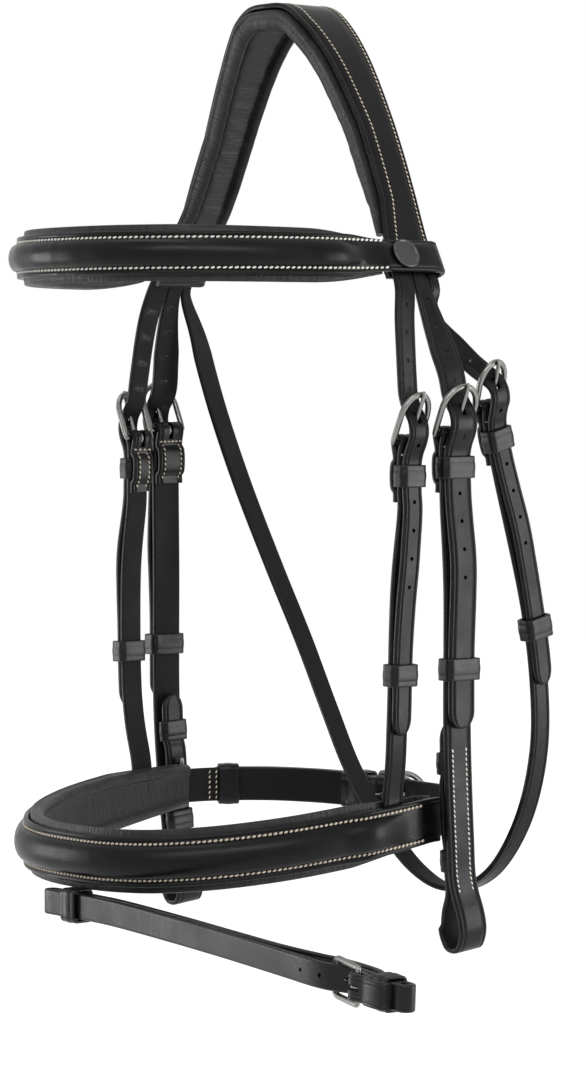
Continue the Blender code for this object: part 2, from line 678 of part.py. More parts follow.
def lay_cheekpiece(word, route, bar):
    """Cheekpiece with its eye at the top and the bit loop at the bottom, and the loop's fittings."""
    bottom = route.find(2, -LOOP_BOTTOM)
    lower = route.find(2, -LOWER_KEEPER_DROP)
    upper = route.find(2, -UPPER_KEEPER_DROP)
    stud = route.find(2, -STUD_DROP)
    tip = route.find(2, -HOOK_TIP_DROP)
    loop, tail = bit_loop_line(bottom, lower, upper, stud, tip)
    top = chape_line(bar, [(s, MAIN_OUT) for s in spaced(bar + CHAPE_LENGTH, loop[0][0], ROW_STEP)[:-1]],
                     CHAPE_LENGTH)
    rows = strap_rows(route, top + loop, CHEEK_WIDTH)
    share = HOOK_WIDTH / CHEEK_WIDTH
    for index, (s, out) in enumerate(tail):
        past = index - (len(tail) - 4)
        narrow = TIP_SHARES[past] if past >= 0 else 1.0
        half = CHEEK_WIDTH * share * narrow / 2
        rows.append((route.at(s, out, -half), route.at(s, out, half)))
    strap = lay_strap(word + "_cheekpiece", rows, leather(word + "_cheekpiece"))
    tail_out = tail[0][1]
    for label, s in (("lower", lower), ("upper", upper)):
        low = tail_out - LEATHER / 2 - GAP - KEEPER_LEATHER / 2
        high = tail_out + LEATHER / 2 + GAP + KEEPER_LEATHER / 2
        name = word + "_hook_" + label + "_keeper"
        band_loop(name, HOOK_WIDTH / 2 + SLACK + KEEPER_LEATHER / 2, low, high, KEEPER_WIDTH,
                  KEEPER_LEATHER, route.matrix(s), leather(name))
    seat = MAIN_OUT - LEATHER / 2 - GAP
    outside = tail_out - BOW / 2 - LEATHER / 2 - STUD_WIRE * 2
    places = [(0.0, 0.0, seat), (0.0, 0.0, seat - STUD_PLATE), (0.0, 0.0, seat - STUD_PLATE - GAP),
              (0.0, 0.0, outside), (0.0, -STUD_WIRE * 1.5, outside - STUD_WIRE),
              (0.0, -STUD_HOOK, outside - STUD_WIRE)]
    base = STUD_BASE_RADIUS / STUD_WIRE
    wire(word + "_hook_stud", places, STUD_WIRE, steel(word + "_hook_stud"), route.matrix(stud),
         radii=[base, base, 1.0, 1.0, 1.0, 1.0])
    slot_length = 4 * STUD_WIRE + SLACK
    cut_block(strap, (2 * STUD_WIRE + 2 * SLACK, slot_length, 3 * LEATHER),
              route.matrix(stud, tail_out - BOW / 2 - LEATHER / 4))
    return strap


def build_near_throat():
    """The throatlatch's route, and the near billet that meets its buckle."""
    below = [place(p) for p in THROAT_BELOW_SHARES] + [split_place(2, OFF)]
    route, bar = hanging_route(2, THROAT_ABOVE_SHARES, THROAT_HINGE_SHARES, THROAT_LEAN_SHARES, below, NEAR,
                               THROAT_FACING_SHARES)
    tip = bar + THROAT_TAIL
    line = billet_line(BILLET_START, bar, tip, BOW, STEEP_SHAPE)
    return route, bar, tip, line


def build_suspension():
    """Headpiece, noseband straps, cheekpieces and throatlatch with their buckles."""
    throat, throat_bar, throat_tip, throat_line = build_near_throat()
    sides = {word: build_side_straps(word, side) for word, side in (("near", NEAR), ("off", OFF))}
    billets = []
    for word, side in (("near", NEAR), ("off", OFF)):
        for column, (kind, width) in enumerate((("nose", NOSE_WIDTH), ("cheek", CHEEK_WIDTH))):
            route, bar, tip, line = sides[word][kind]
            start_width = SPLIT_WIDTHS[column] - SPLIT_GAP
            billets.append((side, column, billet_rows(route, line, width - SPLIT_GAP, start_width)))
    throat_width = THROAT_WIDTH - SPLIT_GAP
    throat_start = SPLIT_WIDTHS[2] - SPLIT_GAP
    billets.append((NEAR, 2, billet_rows(throat, throat_line, throat_width, throat_start)))
    head = build_headpiece(billets)
    holes = hole_matrices(throat, throat_bar, throat_line, throat_tip, 2)
    for word, side in (("near", NEAR), ("off", OFF)):
        nose, nose_bar, nose_tip, nose_line = sides[word]["nose"]
        cheek, cheek_bar, cheek_tip, cheek_line = sides[word]["cheek"]
        holes += hole_matrices(nose, nose_bar, nose_line, nose_tip, 4)
        holes += hole_matrices(cheek, cheek_bar, cheek_line, cheek_tip, 4)
        end = nose.find(2, -NOSE_STRAP_END)
        low = nose.find(2, -RING_DROP + BAND_PAD_HEIGHT)
        down = [(s, MAIN_OUT) for s in spaced(nose_bar + CHAPE_LENGTH, low, ROW_STEP)]
        line = chape_line(nose_bar, down + [((down[-1][0] + end) / 2, 0.0), (end, 0.0)], CHAPE_LENGTH)
        name = word + "_noseband_strap"
        strap = lay_strap(name, strap_rows(nose, line, NOSE_WIDTH), leather(name))
        buckle(word + "_noseband", nose, nose_bar, NOSE_WIDTH, strap, head)
        runner(word + "_noseband", nose, nose_tip - RUNNER_FROM_TIP, NOSE_WIDTH)
        strap = lay_cheekpiece(word, cheek, cheek_bar)
        buckle(word + "_cheek", cheek, cheek_bar, CHEEK_WIDTH, strap, head)
        runner(word + "_cheek", cheek, cheek_tip - RUNNER_FROM_TIP, CHEEK_WIDTH)
    low = throat.length - ROW_STEP * 2
    down = [(s, MAIN_OUT) for s in spaced(throat_bar + CHAPE_LENGTH, low, ROW_STEP)]
    rows = []
    for s, out in chape_line(throat_bar, down + [(throat.length - LEATHER / 2, 0.0)], CHAPE_LENGTH):
        half = flared(throat_width, throat_start, throat.length - s) / 2
        rows.append((throat.at(s, out, -half), throat.at(s, out, half)))
    strap = lay_strap("throatlatch", rows, leather("throatlatch"))
    buckle("throat", throat, throat_bar, THROAT_WIDTH, strap, head)
    runner("throat", throat, throat_tip - RUNNER_FROM_TIP, THROAT_WIDTH)
    punch(head, holes, HOLE_RADIUS, HOLE_DEPTH)


def plan_point(shares, half, front, rear, drop, slope=0.0):
    y = -shares[1] * -front if shares[1] < 0 else shares[1] * rear
    return np.array((shares[0] * half, y, -drop + slope * min(y, 0.0)))


def loft(name, rings, material):
    """A closed solid through rings of points."""
    mesh = bpy.data.meshes.new(name)
    shape = bmesh.new()
    grid = [[shape.verts.new(point) for point in ring] for ring in rings]
    for first, second in zip(grid, grid[1:]):
        for index, corner in enumerate(first):
            after = (index + 1) % len(first)
            shape.faces.new((corner, first[after], second[after], second[index]))
    shape.faces.new(list(reversed(grid[0])))
    shape.faces.new(grid[-1])
    bmesh.ops.recalc_face_normals(shape, faces=shape.faces)
    shape.to_mesh(mesh)
    shape.free()
    return add_object(name, mesh, material)


def pad_ring(route, s, width, top_out, edge, centre, share=1.0, shift=0.0):
    """One section of a pad with rolled edges, flat against the leather at top_out."""
    return [route.at(s, top_out - share * (edge * rolled + centre * flat), width * across + shift)
            for across, rolled, flat in SECTION_SHARES]


def leg_route():
    """The headpiece's way from the off side to the near side, level along Y."""
    points = [np.array((x, 0.0, z)) for x, z in arch_line(4)]
    return Route(points, [np.array((p[0], 0.0, p[2] + HEAD_HALF)) for p in points], 1)


def build_headpiece_lining():
    """Padded lining under the crown, thick at its edges and flat over the poll."""
    route = leg_route()
    top = -LEATHER / 2 - SEAM
    low = route.find(2, -PAD_END_DROP)
    middle = route.length / 2
    steps = [low, low + PAD_EDGE] + spaced(low + PAD_EDGE * 2, middle - SEAT_HALF, ROW_STEP / 1.5)
    rings = []
    for s in steps + [route.length - s for s in reversed(steps)]:
        end = min(s - low, route.length - low - s) / (2 * PAD_EDGE)
        share = min(1.0, 0.55 + 0.45 * end)
        centre = PAD_CENTRE
        if abs(s - middle) < SEAT_HALF * 1.01:
            centre = route.centre(s)[2] / route.axes(s)[2][2] + top
        front, rear = head_edges(route.centre(s)[0])
        width = rear - front + 2 * PAD_OVERHANG
        rings.append(pad_ring(route, s, width, top, PAD_EDGE, centre, share, -(front + rear) / 2))
    loft("headpiece_lining", rings, lining("headpiece_lining"))


def raised_row(centre, up, outward, height, roll, roll_width):
    """One row across a strap, from its lower to its upper edge, with the roll's bulge between."""
    row = []
    for edge, inner, lift in ROLL_SHARES:
        side = edge * height / 2 + inner * roll_width / 2
        row.append(centre + up * side + outward * roll * lift)
    return row


def swell(s, first, last, taper):
    """How far a roll has risen at a station, from 0 at its ends to 1."""
    share = max(0.0, min(1.0, (s - first) / taper, (last - s) / taper))
    return math.sin(share * math.pi / 2) ** 2


def brow_loop():
    """The near end loop round the headpiece, from its returned end to the front: places and facings."""
    leg = leg_route()
    crossing = leg.length - leg.find(2, -BROW_DROP)
    outward = leg.axes(crossing)[2]
    rear = np.array((0.0, 1.0, 0.0))
    levels = [leg.find(2, -BROW_DROP + half) for half in (-BROW_END_HEIGHT / 2, BROW_END_HEIGHT / 2)]
    edges = [head_edges(leg.centre(s)[0]) for s in levels]
    front, back = min(e[0] for e in edges), max(e[1] for e in edges)
    centre = leg.centre(crossing) + rear * (front + back) / 2
    radius = LEATHER + BROW_SLACK
    reach = (back - front) / 2 + BROW_SLACK + LEATHER / 2 - radius
    ends = [-reach * share for share in BROW_LOOP_SHARES]
    places = [centre + rear * y - outward * radius for y in ends]
    facings = [-outward] * len(ends)
    for angle in (-90, -54, -18, 18, 54, 90):
        turn = math.radians(angle)
        facing = rear * math.cos(turn) + outward * math.sin(turn)
        places.append(centre + rear * reach + facing * radius)
        facings.append(facing)
    ends.insert(0, -reach * BROW_REACH_SHARE)
    places += [centre + rear * y + outward * radius for y in reversed(ends)]
    facings += [outward] * len(ends)
    return places, facings


def stud(name, matrix):
    """A flat round stud with a raised rim."""
    mesh = bpy.data.meshes.new(name)
    inner = STUD_RADIUS - STUD_RIM_WIDTH
    profile = [(0.0, STUD_HEIGHT - STUD_RIM), (inner - STUD_RIM, STUD_HEIGHT - STUD_RIM), (inner, STUD_HEIGHT),
               (STUD_RADIUS, STUD_HEIGHT), (STUD_RADIUS, 0.0), (0.0, 0.0)]
    mesh.from_pydata([(r, 0.0, z) for r, z in profile], [(k, k + 1) for k in range(len(profile) - 1)], [])
    item = add_object(name, mesh, steel(name), matrix)
    turn = item.modifiers.new("turn", "SCREW")
    turn.steps = STUD_SIDES
    turn.render_steps = STUD_SIDES
    turn.use_merge_vertices = True
    turn.merge_threshold = MERGE
    turn.use_normal_calculate = True
    turn.use_normal_flip = True


def mirrored(vector):
    return vector * np.array((-1.0, 1.0, 1.0))


def build_browband():
    """Browband with its roll, its two end loops round the headpiece, its pad and its studs."""
    places, facings = brow_loop()
    stud_place = len(places) - BROW_STUD_ROW
    front = [plan_point(p, BROW_HALF, BROW_FRONT, 0.0, -places[-1][2]) for p in BROW_SHARES]
    bend = smooth(places[-2:] + front, BROW_STEPS)[BROW_STEPS + 1:]
    level = [np.array((p[0], p[1] + BROW_MIDDLE * BROW_FRONT, 0.0)) for p in bend]
    turned = [facings[-1] * (1 - share) + unit(flat) * share
              for share, flat in zip(np.minimum(np.arange(1, len(level) + 1) / (4 * BROW_STEPS), 1.0), level)]
    places += bend
    facings += turned
    route = Route(places + [mirrored(p) for p in reversed(places[:-1])],
                  facings + [mirrored(f) for f in reversed(facings[:-1])], 1)
    stations = list(route.reach)
    start = pad_start(route, -BROW_PAD_START)
    rows = []
    for s in stations:
        across, _, outward = route.axes(s)
        end = min(s, route.length - s)
        rise = swell(end, start, route.length, BROW_TAPER)
        height = BROW_END_HEIGHT + (BROW_HEIGHT - BROW_END_HEIGHT) * rise
        rows.append(raised_row(route.centre(s), across, outward, height, BROW_ROLL * rise, BROW_ROLL_WIDTH))
    lay_strap("browband_leather", rows, leather("browband_leather"), 0.0)
    rings = []
    for s in [s for s in stations if start < s < route.length - start]:
        end = min(s, route.length - s) - start
        share = min(1.0, 0.6 + 0.4 * end / BROW_TAPER)
        rings.append(pad_ring(route, s, BROW_PAD_HEIGHT, -LEATHER / 2 - SEAM, BROW_PAD_EDGE,
                              BROW_PAD_CENTRE, share))
    loft("browband_lining", rings, lining("browband_lining"))
    middle = route.reach[stud_place]
    for word, s in (("near", middle), ("off", route.length - middle)):
        stud(word + "_browband_stud", route.matrix(s, LEATHER / 2 + GAP))


def pad_start(route, y):
    """Where the near half of the browband first comes forward of a place along Y."""
    return next(s for s, point in zip(route.reach, route.points) if point[1] < y)


def band_route(shares_near, middle, shares_off):
    """A level route round the noseband's plan, facing outwards."""
    near = [plan_point(p, RING_HALF, RING_FRONT, RING_REAR, RING_DROP, RING_SLOPE) for p in shares_near]
    off = [plan_point(p, RING_HALF, RING_FRONT, RING_REAR, RING_DROP, RING_SLOPE) for p in shares_off]
    places = near + middle + off
    return Route(places, [np.array((p[0], p[1] + RING_MIDDLE * RING_FRONT, 0.0)) for p in places])


def build_noseband():
    """Noseband leather with its roll, its pad, and the two rear straps with their buckle."""
    mirrored = [(-x, y) for x, y in reversed(BAND_SHARES[:-1])]
    band = band_route(BAND_SHARES, [], mirrored)
    tuck = band.find(1, -RING_FRONT * BAND_LIFT_SHARE)
    start = band.find(1, -RING_FRONT * ROLL_START_SHARE)
    stations = spaced(0.0, band.length, ROW_STEP * 0.7)
    rows = []
    for s in stations:
        across, along, outward = band.axes(s)
        end = min(s, band.length - s)
        lift = 1 - swell(end, tuck - ROW_STEP / 2, band.length, ROW_STEP)
        rise = swell(s, start, band.length - start, ROW_STEP * 1.5)
        height = BAND_END_HEIGHT + (BAND_HEIGHT - BAND_END_HEIGHT) * min(1.0, end / tuck)
        centre = band.centre(s) + outward * lift * (LEATHER + SEAM)
        rows.append(raised_row(centre, across, outward, height, BAND_ROLL * rise, BAND_ROLL_WIDTH))
    lay_strap("noseband_leather", rows, leather("noseband_leather"), 0.0)
    rings = []
    for s in stations:
        end = min(s, band.length - s)
        share = min(1.0, 0.6 + 0.4 * end / ROW_STEP)
        height = BAND_END_HEIGHT + (BAND_PAD_HEIGHT - BAND_END_HEIGHT) * min(1.0, end / tuck)
        rings.append(pad_ring(band, s, height, -LEATHER / 2 - SEAM, BAND_PAD_EDGE, BAND_PAD_CENTRE, share))
    loft("noseband_lining", rings, lining("noseband_lining"))

    bar = plan_point((REAR_BAR_SHARE, 1.0), RING_HALF, RING_FRONT, RING_REAR, RING_DROP)
    straight = [bar - np.array((BUCKLE_LENGTH * share, 0.0, 0.0)) for share in STRAIGHT_SHARES]
    rear = band_route(REAR_NEAR_SHARES, straight, REAR_OFF_SHARES)
    hinge = rear.find(0, bar[0])
    start = rear.find(1, -REAR_TUCK)
    line = billet_line(start, hinge, hinge + REAR_TAIL, 0.0, STEEP_SHAPE, REAR_STEP)
    billet = lay_strap("noseband_rear_billet", billet_rows(rear, line, REAR_WIDTH, REAR_WIDTH),
                       leather("noseband_rear_billet"))
    holes = hole_matrices(rear, hinge, line, hinge + REAR_TAIL, 2)
    end = rear.length - start
    exit_place = end - BAND_TUCK
    shared = [s for s, _ in line if s > hinge + CHAPE_LENGTH]
    down = [(s, MAIN_OUT) for s in shared] + [(s, 0.0) for s in spaced(exit_place, end, REAR_STEP)]
    line = chape_line(hinge, down, CHAPE_LENGTH)
    strap = lay_strap("noseband_rear_strap", strap_rows(rear, line, REAR_WIDTH), leather("noseband_rear_strap"))
    buckle("noseband_rear", rear, hinge, REAR_WIDTH, strap, billet)
    low = MAIN_OUT - LEATHER / 2 - RUNNER_SLACK - KEEPER_LEATHER / 2
    high = BILLET_OUT + LEATHER / 2 + RUNNER_SLACK + KEEPER_LEATHER / 2
    band_loop("noseband_rear_lower_keeper", REAR_WIDTH / 2 + SLACK + KEEPER_LEATHER / 2, low, high, KEEPER_WIDTH,
              KEEPER_LEATHER, rear.matrix(hinge + REAR_KEEPER_PLACE), leather("noseband_rear_lower_keeper"))
    punch(billet, holes, HOLE_RADIUS, HOLE_DEPTH)


def build_flash():
    """Flash strap, doubled through its loop under the noseband and buckled at its free end."""
    half = FLASH_WIDTH / 2 + FLASH_LOOP_SLACK + KEEPER_LEATHER / 2
    level = -(RING_DROP + RING_SLOPE * RING_FRONT + BAND_PAD_HEIGHT / 2 + GAP + half + KEEPER_LEATHER / 2)
    front = -(RING_FRONT + LEATHER)
    places = [np.array((x * FLASH_REACH, front - y * FLASH_FORWARD, level - z * FLASH_DROP))
              for x, y, z in FLASH_SHARES]
    route = Route(places, [np.array((0.0, 1.0, 0.0))] * len(places))
    middle = route.find(0, FLASH_LOOP_PLACE * FLASH_REACH)
    fold = route.find(0, -FLASH_FOLD)
    right = route.find(0, FLASH_REACH)
    hinge = right - FLASH_END
    back = LEATHER + FLASH_LAYER_GAP
    outer = BILLET_OUT + LEATHER + GAP
    turn = (outer - MAIN_OUT) / 2
    line = [(right - turn, MAIN_OUT)]
    for angle in (-60, -30, 0, 30, 60):
        line.append((right - turn + turn * math.cos(math.radians(angle)),
                     MAIN_OUT + turn + turn * math.sin(math.radians(angle))))
    keeper_end = hinge + FIXED_KEEPER_PLACE - KEEPER_WIDTH / 2 - SLACK
    line += [(right - turn, outer), (keeper_end, outer)]
    line += [(hinge + along * BUCKLE_LENGTH, out * FLASH_BACK_OUT) for along, out in FLASH_BACK_SHARES]
    line += [(s, back) for s in spaced(hinge - BUCKLE_LENGTH * 4, fold + back / 2, ROW_STEP * 2)]
    for angle in (120, 150, 180, 210, 240):
        line.append((fold + back / 2 + back / 2 * math.cos(math.radians(angle)),
                     back / 2 + back / 2 * math.sin(math.radians(angle))))
    billet = billet_line(fold + back / 2, hinge, hinge + FLASH_TAIL, 0.0, FLASH_SHAPE)
    billet = [p for p in billet if p[0] < hinge + FIXED_KEEPER_PLACE] + [(hinge + FLASH_TAIL, BILLET_OUT)]
    rows = strap_rows(route, chape_line(hinge, line, FLASH_CHAPE) + billet, FLASH_WIDTH)
    strap = lay_strap("flash_strap", rows, leather("flash_strap"))
    buckle("flash", route, hinge, FLASH_WIDTH, strap, strap, FLASH_TILT, outer, FLASH_SHOULDER_SHARE)
    low = -LEATHER / 2 - FLASH_LOOP_SLACK - KEEPER_LEATHER / 2
    high = back + LEATHER / 2 + FLASH_LOOP_SLACK + KEEPER_LEATHER / 2
    band_loop("flash_loop", half, low, high, KEEPER_WIDTH, KEEPER_LEATHER, route.matrix(middle),
              leather("flash_loop"))
    used = hinge - BUCKLE_LENGTH * CROSSING_SHARE
    punch(strap, [route.matrix(used - HOLE_PITCH * k, 0.0) for k in (1, 2)], HOLE_RADIUS, LEATHER * 1.5)


def main():
    build_suspension()
    build_headpiece_lining()
    build_browband()
    build_noseband()
    build_flash()


main()
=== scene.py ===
"""Flash noseband bridle: the leather, padding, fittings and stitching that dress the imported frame.

Metres, in the frame's own axes: the horse's nose points along -Y and its near (left) side is +X.
"""

import math

import bmesh
import bpy
import numpy as np
from mathutils import Matrix, Vector, noise


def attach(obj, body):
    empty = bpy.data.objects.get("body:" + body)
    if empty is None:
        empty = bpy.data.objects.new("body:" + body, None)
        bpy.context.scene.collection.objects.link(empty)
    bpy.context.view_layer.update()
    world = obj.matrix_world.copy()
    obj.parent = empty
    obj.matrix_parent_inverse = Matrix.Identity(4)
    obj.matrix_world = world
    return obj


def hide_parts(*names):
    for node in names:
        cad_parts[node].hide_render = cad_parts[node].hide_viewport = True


bl_info = {
    "name": "Flash noseband bridle",
    "version": (1, 0, 0),
    "blender": (4, 5, 0),
    "location": "View3D > Sidebar > Bridle",
    "description": "Dresses the packed bridle in stitched and padded leather with satin steel fittings",
    "category": "Add Mesh",
}

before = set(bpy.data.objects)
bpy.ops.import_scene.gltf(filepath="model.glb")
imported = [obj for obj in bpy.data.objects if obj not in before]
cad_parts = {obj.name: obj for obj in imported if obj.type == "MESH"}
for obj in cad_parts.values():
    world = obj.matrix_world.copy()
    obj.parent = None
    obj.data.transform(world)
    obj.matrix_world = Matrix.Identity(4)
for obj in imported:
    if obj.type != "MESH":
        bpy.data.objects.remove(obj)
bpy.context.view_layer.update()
BODY = "bridle"

# Leather and clearances
LEATHER = 0.003
GAP = 0.0003
SLACK = 0.0004
SEAM = 0.0006

# Straps
CHEEK_WIDTH = 0.018
NOSE_WIDTH = 0.013
THROAT_WIDTH = 0.013
FLASH_WIDTH = 0.013
REAR_WIDTH = 0.019
TIP_LENGTH = 0.009
HOLE_PITCH = 0.0145

# Headpiece
HEAD_HALF = 0.104
HEAD_DROP = 0.153
HEAD_WIDTH = 0.041
SPLIT_WIDTHS = (0.0135, 0.0105, 0.0070)
SPLIT_GAP = 0.0008
FLARE_LENGTH = 0.035
PAD_OVERHANG = 0.0015
PAD_EDGE = 0.0105
PAD_CENTRE = 0.0085
PAD_END_DROP = 0.112
SEAT_HALF = 0.006

# Places of the hanging straps
SPREAD = 0.112
FAN = 0.080
HANG = 0.425

# Buckles
WIRE_RADIUS = 0.0013
TONGUE_RADIUS = 0.0010
BUCKLE_LENGTH = 0.027
BUCKLE_TILT = math.radians(25)
SIDE_ROOM = 0.001
TONGUE_PLAY = 0.0028
CROSSING_SHARE = 0.535
CHAPE_LENGTH = 0.030
FIXED_KEEPER_PLACE = 0.017
KEEPER_WIDTH = 0.0115
KEEPER_LEATHER = 0.0015
BULGE = 0.0105
TONGUE_TURN = math.radians(200)
TONGUE_TURN_STEPS = 6
EYE_ANGLES = (-105, -70, -35, 0, 35, 70, 105)
STRAIGHT_SHARES = (-1.15, -0.6, 0.0, 0.45, 0.95, 1.4)

# Runners and tips
RUNNER_FROM_TIP = 0.031
RUNNER_TRAVEL = 0.005
BOW = 0.002
ROW_STEP = 0.020
TIP_STEP_SHARES = (1.0, 0.5, 0.16, 0.0)
HOLES_BELOW = 6
HOLE_DEPTH = 0.008
RUNNER_SLACK = 0.0008
NOSE_TIP_DROP = 0.371
CHEEK_TIP_DROP = 0.369
THROAT_TAIL = 0.152
NOSE_STRAP_END = 0.431

# Browband
BROW_HEIGHT = 0.022
BROW_END_HEIGHT = 0.018
BROW_FRONT = 0.156
BROW_HALF = 0.100
BROW_ROLL = 0.0045
BROW_ROLL_WIDTH = 0.012
BROW_DROP = 0.1265
BROW_PAD_EDGE = 0.0065
BROW_PAD_CENTRE = 0.0050
BROW_SLACK = 0.0010
BROW_PAD_START = 0.023
BROW_TAPER = 0.022
BROW_STUD_ROW = 3
STUD_RADIUS = 0.0082
STUD_HEIGHT = 0.0020
STUD_RIM = 0.0005
STUD_RIM_WIDTH = 0.0012

# Noseband
RING_HALF = 0.106
RING_FRONT = 0.150
RING_REAR = 0.066
RING_DROP = 0.4175
RING_SLOPE = 0.113
BAND_END_HEIGHT = 0.023
BAND_PAD_HEIGHT = 0.031
BAND_ROLL = 0.005
BAND_ROLL_WIDTH = 0.015
BAND_PAD_EDGE = 0.0080
BAND_PAD_CENTRE = 0.0062
BAND_TUCK = 0.020
REAR_STEP = 0.008
REAR_TUCK = 0.010
BAND_LIFT_SHARE = 0.32
RING_MIDDLE = 0.27
REAR_TAIL = 0.118
REAR_KEEPER_PLACE = 0.104

# Bit loops with hook studs
LOOP_HEIGHT = 0.030
LOOP_INNER_WIDTH = 0.013
LOOP_BOTTOM = 0.484
LOOP_SHARES = ((1.25, 0.0), (0.95, 0.28), (0.62, 0.82), (0.33, 1.0), (0.12, 0.72), (0.0, 0.28))
LOWER_KEEPER_DROP = 0.438
UPPER_KEEPER_DROP = 0.387
STUD_DROP = 0.408
HOOK_TIP_DROP = 0.366
HOOK_WIDTH = 0.014
STUD_WIRE = 0.0013
STUD_PLATE = 0.0012
STUD_BASE_RADIUS = 0.0035
STUD_HOOK = 0.005

# Flash strap
FLASH_REACH = 0.280
FLASH_DROP = 0.012
FLASH_FORWARD = 0.018
FLASH_FOLD = 0.018
FLASH_TILT = math.radians(12)
FLASH_BULGE = 0.0078
FLASH_SHOULDER_SHARE = 0.2
FLASH_LOOP_PLACE = 0.02
FLASH_LAYER_GAP = 0.0025
FLASH_BACK_OUT = 0.0142
FLASH_CHAPE = 0.026
FLASH_TAIL = 0.027
FLASH_END = 0.033
FLASH_LOOP_SLACK = 0.0008

MAIN_OUT = (LEATHER + GAP) / 2
BILLET_OUT = MAIN_OUT + LEATHER + GAP
INNER_OUT = MAIN_OUT - LEATHER - KEEPER_LEATHER - 2 * GAP
EYE_RADIUS = WIRE_RADIUS + GAP + LEATHER / 2
TONGUE_RING = WIRE_RADIUS + GAP + TONGUE_RADIUS
TONGUE_SLOT = 2 * (TONGUE_RADIUS + SLACK)
EYE_CUT = 2 * (EYE_RADIUS + LEATHER / 2 + SLACK)
ARCH_TOP = LEATHER / 2 + SEAM + PAD_CENTRE
STEEP_PROFILE_SHARES = ((-1.25, 0.1), (-0.92, 0.17), (-0.66, 0.45), (-0.42, 0.88), (-0.2, 1.0),
                        (0.0, 0.86), (0.2, 0.6))
STEEP_SHAPE = (STEEP_PROFILE_SHARES, BULGE)

# Places of the straps' routes, in shares of the spread, the fan and the hanging length
ARCH_SHARES = ((0.0, 0.0), (0.14, 0.007), (0.26, 0.059), (0.39, 0.16), (0.52, 0.303), (0.69, 0.532),
               (0.86, 0.80), (1.0, 0.99))
HEAD_EDGE_SHARES = ((0.0, -0.50, 0.38), (0.26, -0.46, 0.38), (0.43, -0.33, 0.39), (0.62, -0.22, 0.39),
                    (0.79, -0.24, 0.37), (0.90, -0.40, 0.34), (0.96, -0.46, 0.31), (1.0, -0.47, 0.29))
NOSE_ABOVE_SHARES = ((0.962, -0.20, 0.375),)
NOSE_HINGE_SHARES = (1.0, -0.232, 0.520)
NOSE_LEAN_SHARES = (0.035, -0.06, 1.0)
NOSE_BELOW_SHARES = ((1.0, -0.29, 0.700), (0.985, -0.30, 0.85))
NOSE_END_SHARES = ((-0.275, 0.94), (-0.275, 0.98), (-0.275, 1.04))
CHEEK_ABOVE_SHARES = ((0.985, 0.015, 0.372),)
CHEEK_HINGE_SHARES = (1.06, 0.082, 0.510)
CHEEK_LEAN_SHARES = (0.04, 0.07, 1.0)
CHEEK_BELOW_SHARES = ((1.075, 0.105, 0.70), (1.075, 0.105, 0.86), (1.07, 0.13, 0.96), (1.06, 0.175, 1.06),
                      (1.05, 0.22, 1.15))
THROAT_ABOVE_SHARES = ((0.912, 0.095, 0.352), (0.925, 0.13, 0.378))
THROAT_HINGE_SHARES = (1.01, 0.47, 0.478)
THROAT_LEAN_SHARES = (0.0, 1.3, 0.9)
THROAT_BELOW_SHARES = ((1.0, 0.84, 0.715), (0.99, 0.95, 0.82), (0.96, 0.99, 0.91), (0.90, 0.93, 0.995),
                       (0.79, 0.80, 1.06), (0.62, 0.67, 1.082), (0.42, 0.60, 1.06), (0.18, 0.58, 1.005),
                       (-0.06, 0.62, 0.945), (-0.28, 0.68, 0.875), (-0.50, 0.70, 0.785), (-0.68, 0.64, 0.69),
                       (-0.81, 0.51, 0.585), (-0.88, 0.36, 0.485), (-0.915, 0.22, 0.39))
THROAT_FACING_SHARES = ((1, 0, 0), (1, 0, 0), (1, 0, 0), (1, 0, -0.3), (0.7, 0, -0.8), (0.2, 0, -1),
                        (-0.3, 0, -1), (-0.6, 0, -0.8), (-0.8, 0, -0.6), (-0.9, 0, -0.5), (-1, 0, -0.4),
                        (-1, 0, -0.3), (-1, 0, -0.2), (-1, 0, -0.15), (-1, 0, -0.1), (-1, 0, -0.1))

FLAT_PROFILE_SHARES = ((-1.25, 0.0), (-0.92, 0.17), (-0.66, 0.58), (-0.42, 0.95), (-0.2, 1.0), (0.0, 0.92),
                       (0.2, 0.76))
FLASH_SHAPE = (FLAT_PROFILE_SHARES, FLASH_BULGE)
FLASH_SHARES = ((-0.11, 0.0, 0.0), (0.0, 0.0, 0.0), (0.08, 0.0, 0.0), (0.2, 0.1, 0.05), (0.5, 0.4, 0.35),
                (0.86, 0.82, 0.82), (1.03, 1.02, 1.02))
FLASH_BACK_SHARES = ((0.1, 0.85), (-0.15, 1.0), (-1.1, 1.0), (-1.6, 0.8), (-2.6, 0.5))

# Plans of the browband and the noseband: shares of the half width, and of the front or rear reach
BROW_MIDDLE = 0.3
BROW_LOOP_SHARES = (1.0, 0.5, 0.0, -0.5)
BROW_REACH_SHARE = 1.27
BROW_SHARES = ((0.985, -0.22), (0.975, -0.42), (0.86, -0.67), (0.66, -0.85), (0.42, -0.95), (0.2, -0.99),
               (0.0, -1.0))
BAND_SHARES = ((0.985, 0.12), (0.995, 0.0), (1.0, -0.16), (0.98, -0.36), (0.90, -0.58), (0.74, -0.78),
               (0.52, -0.92), (0.27, -0.985), (0.0, -1.0))
REAR_NEAR_SHARES = ((1.0, -0.16), (0.995, 0.0), (0.965, 0.24), (0.88, 0.55), (0.70, 0.83), (0.50, 0.96))
REAR_OFF_SHARES = ((-0.56, 0.93), (-0.76, 0.76), (-0.90, 0.48), (-0.975, 0.18), (-0.995, 0.0), (-1.0, -0.16))
REAR_BAR_SHARE = -0.03

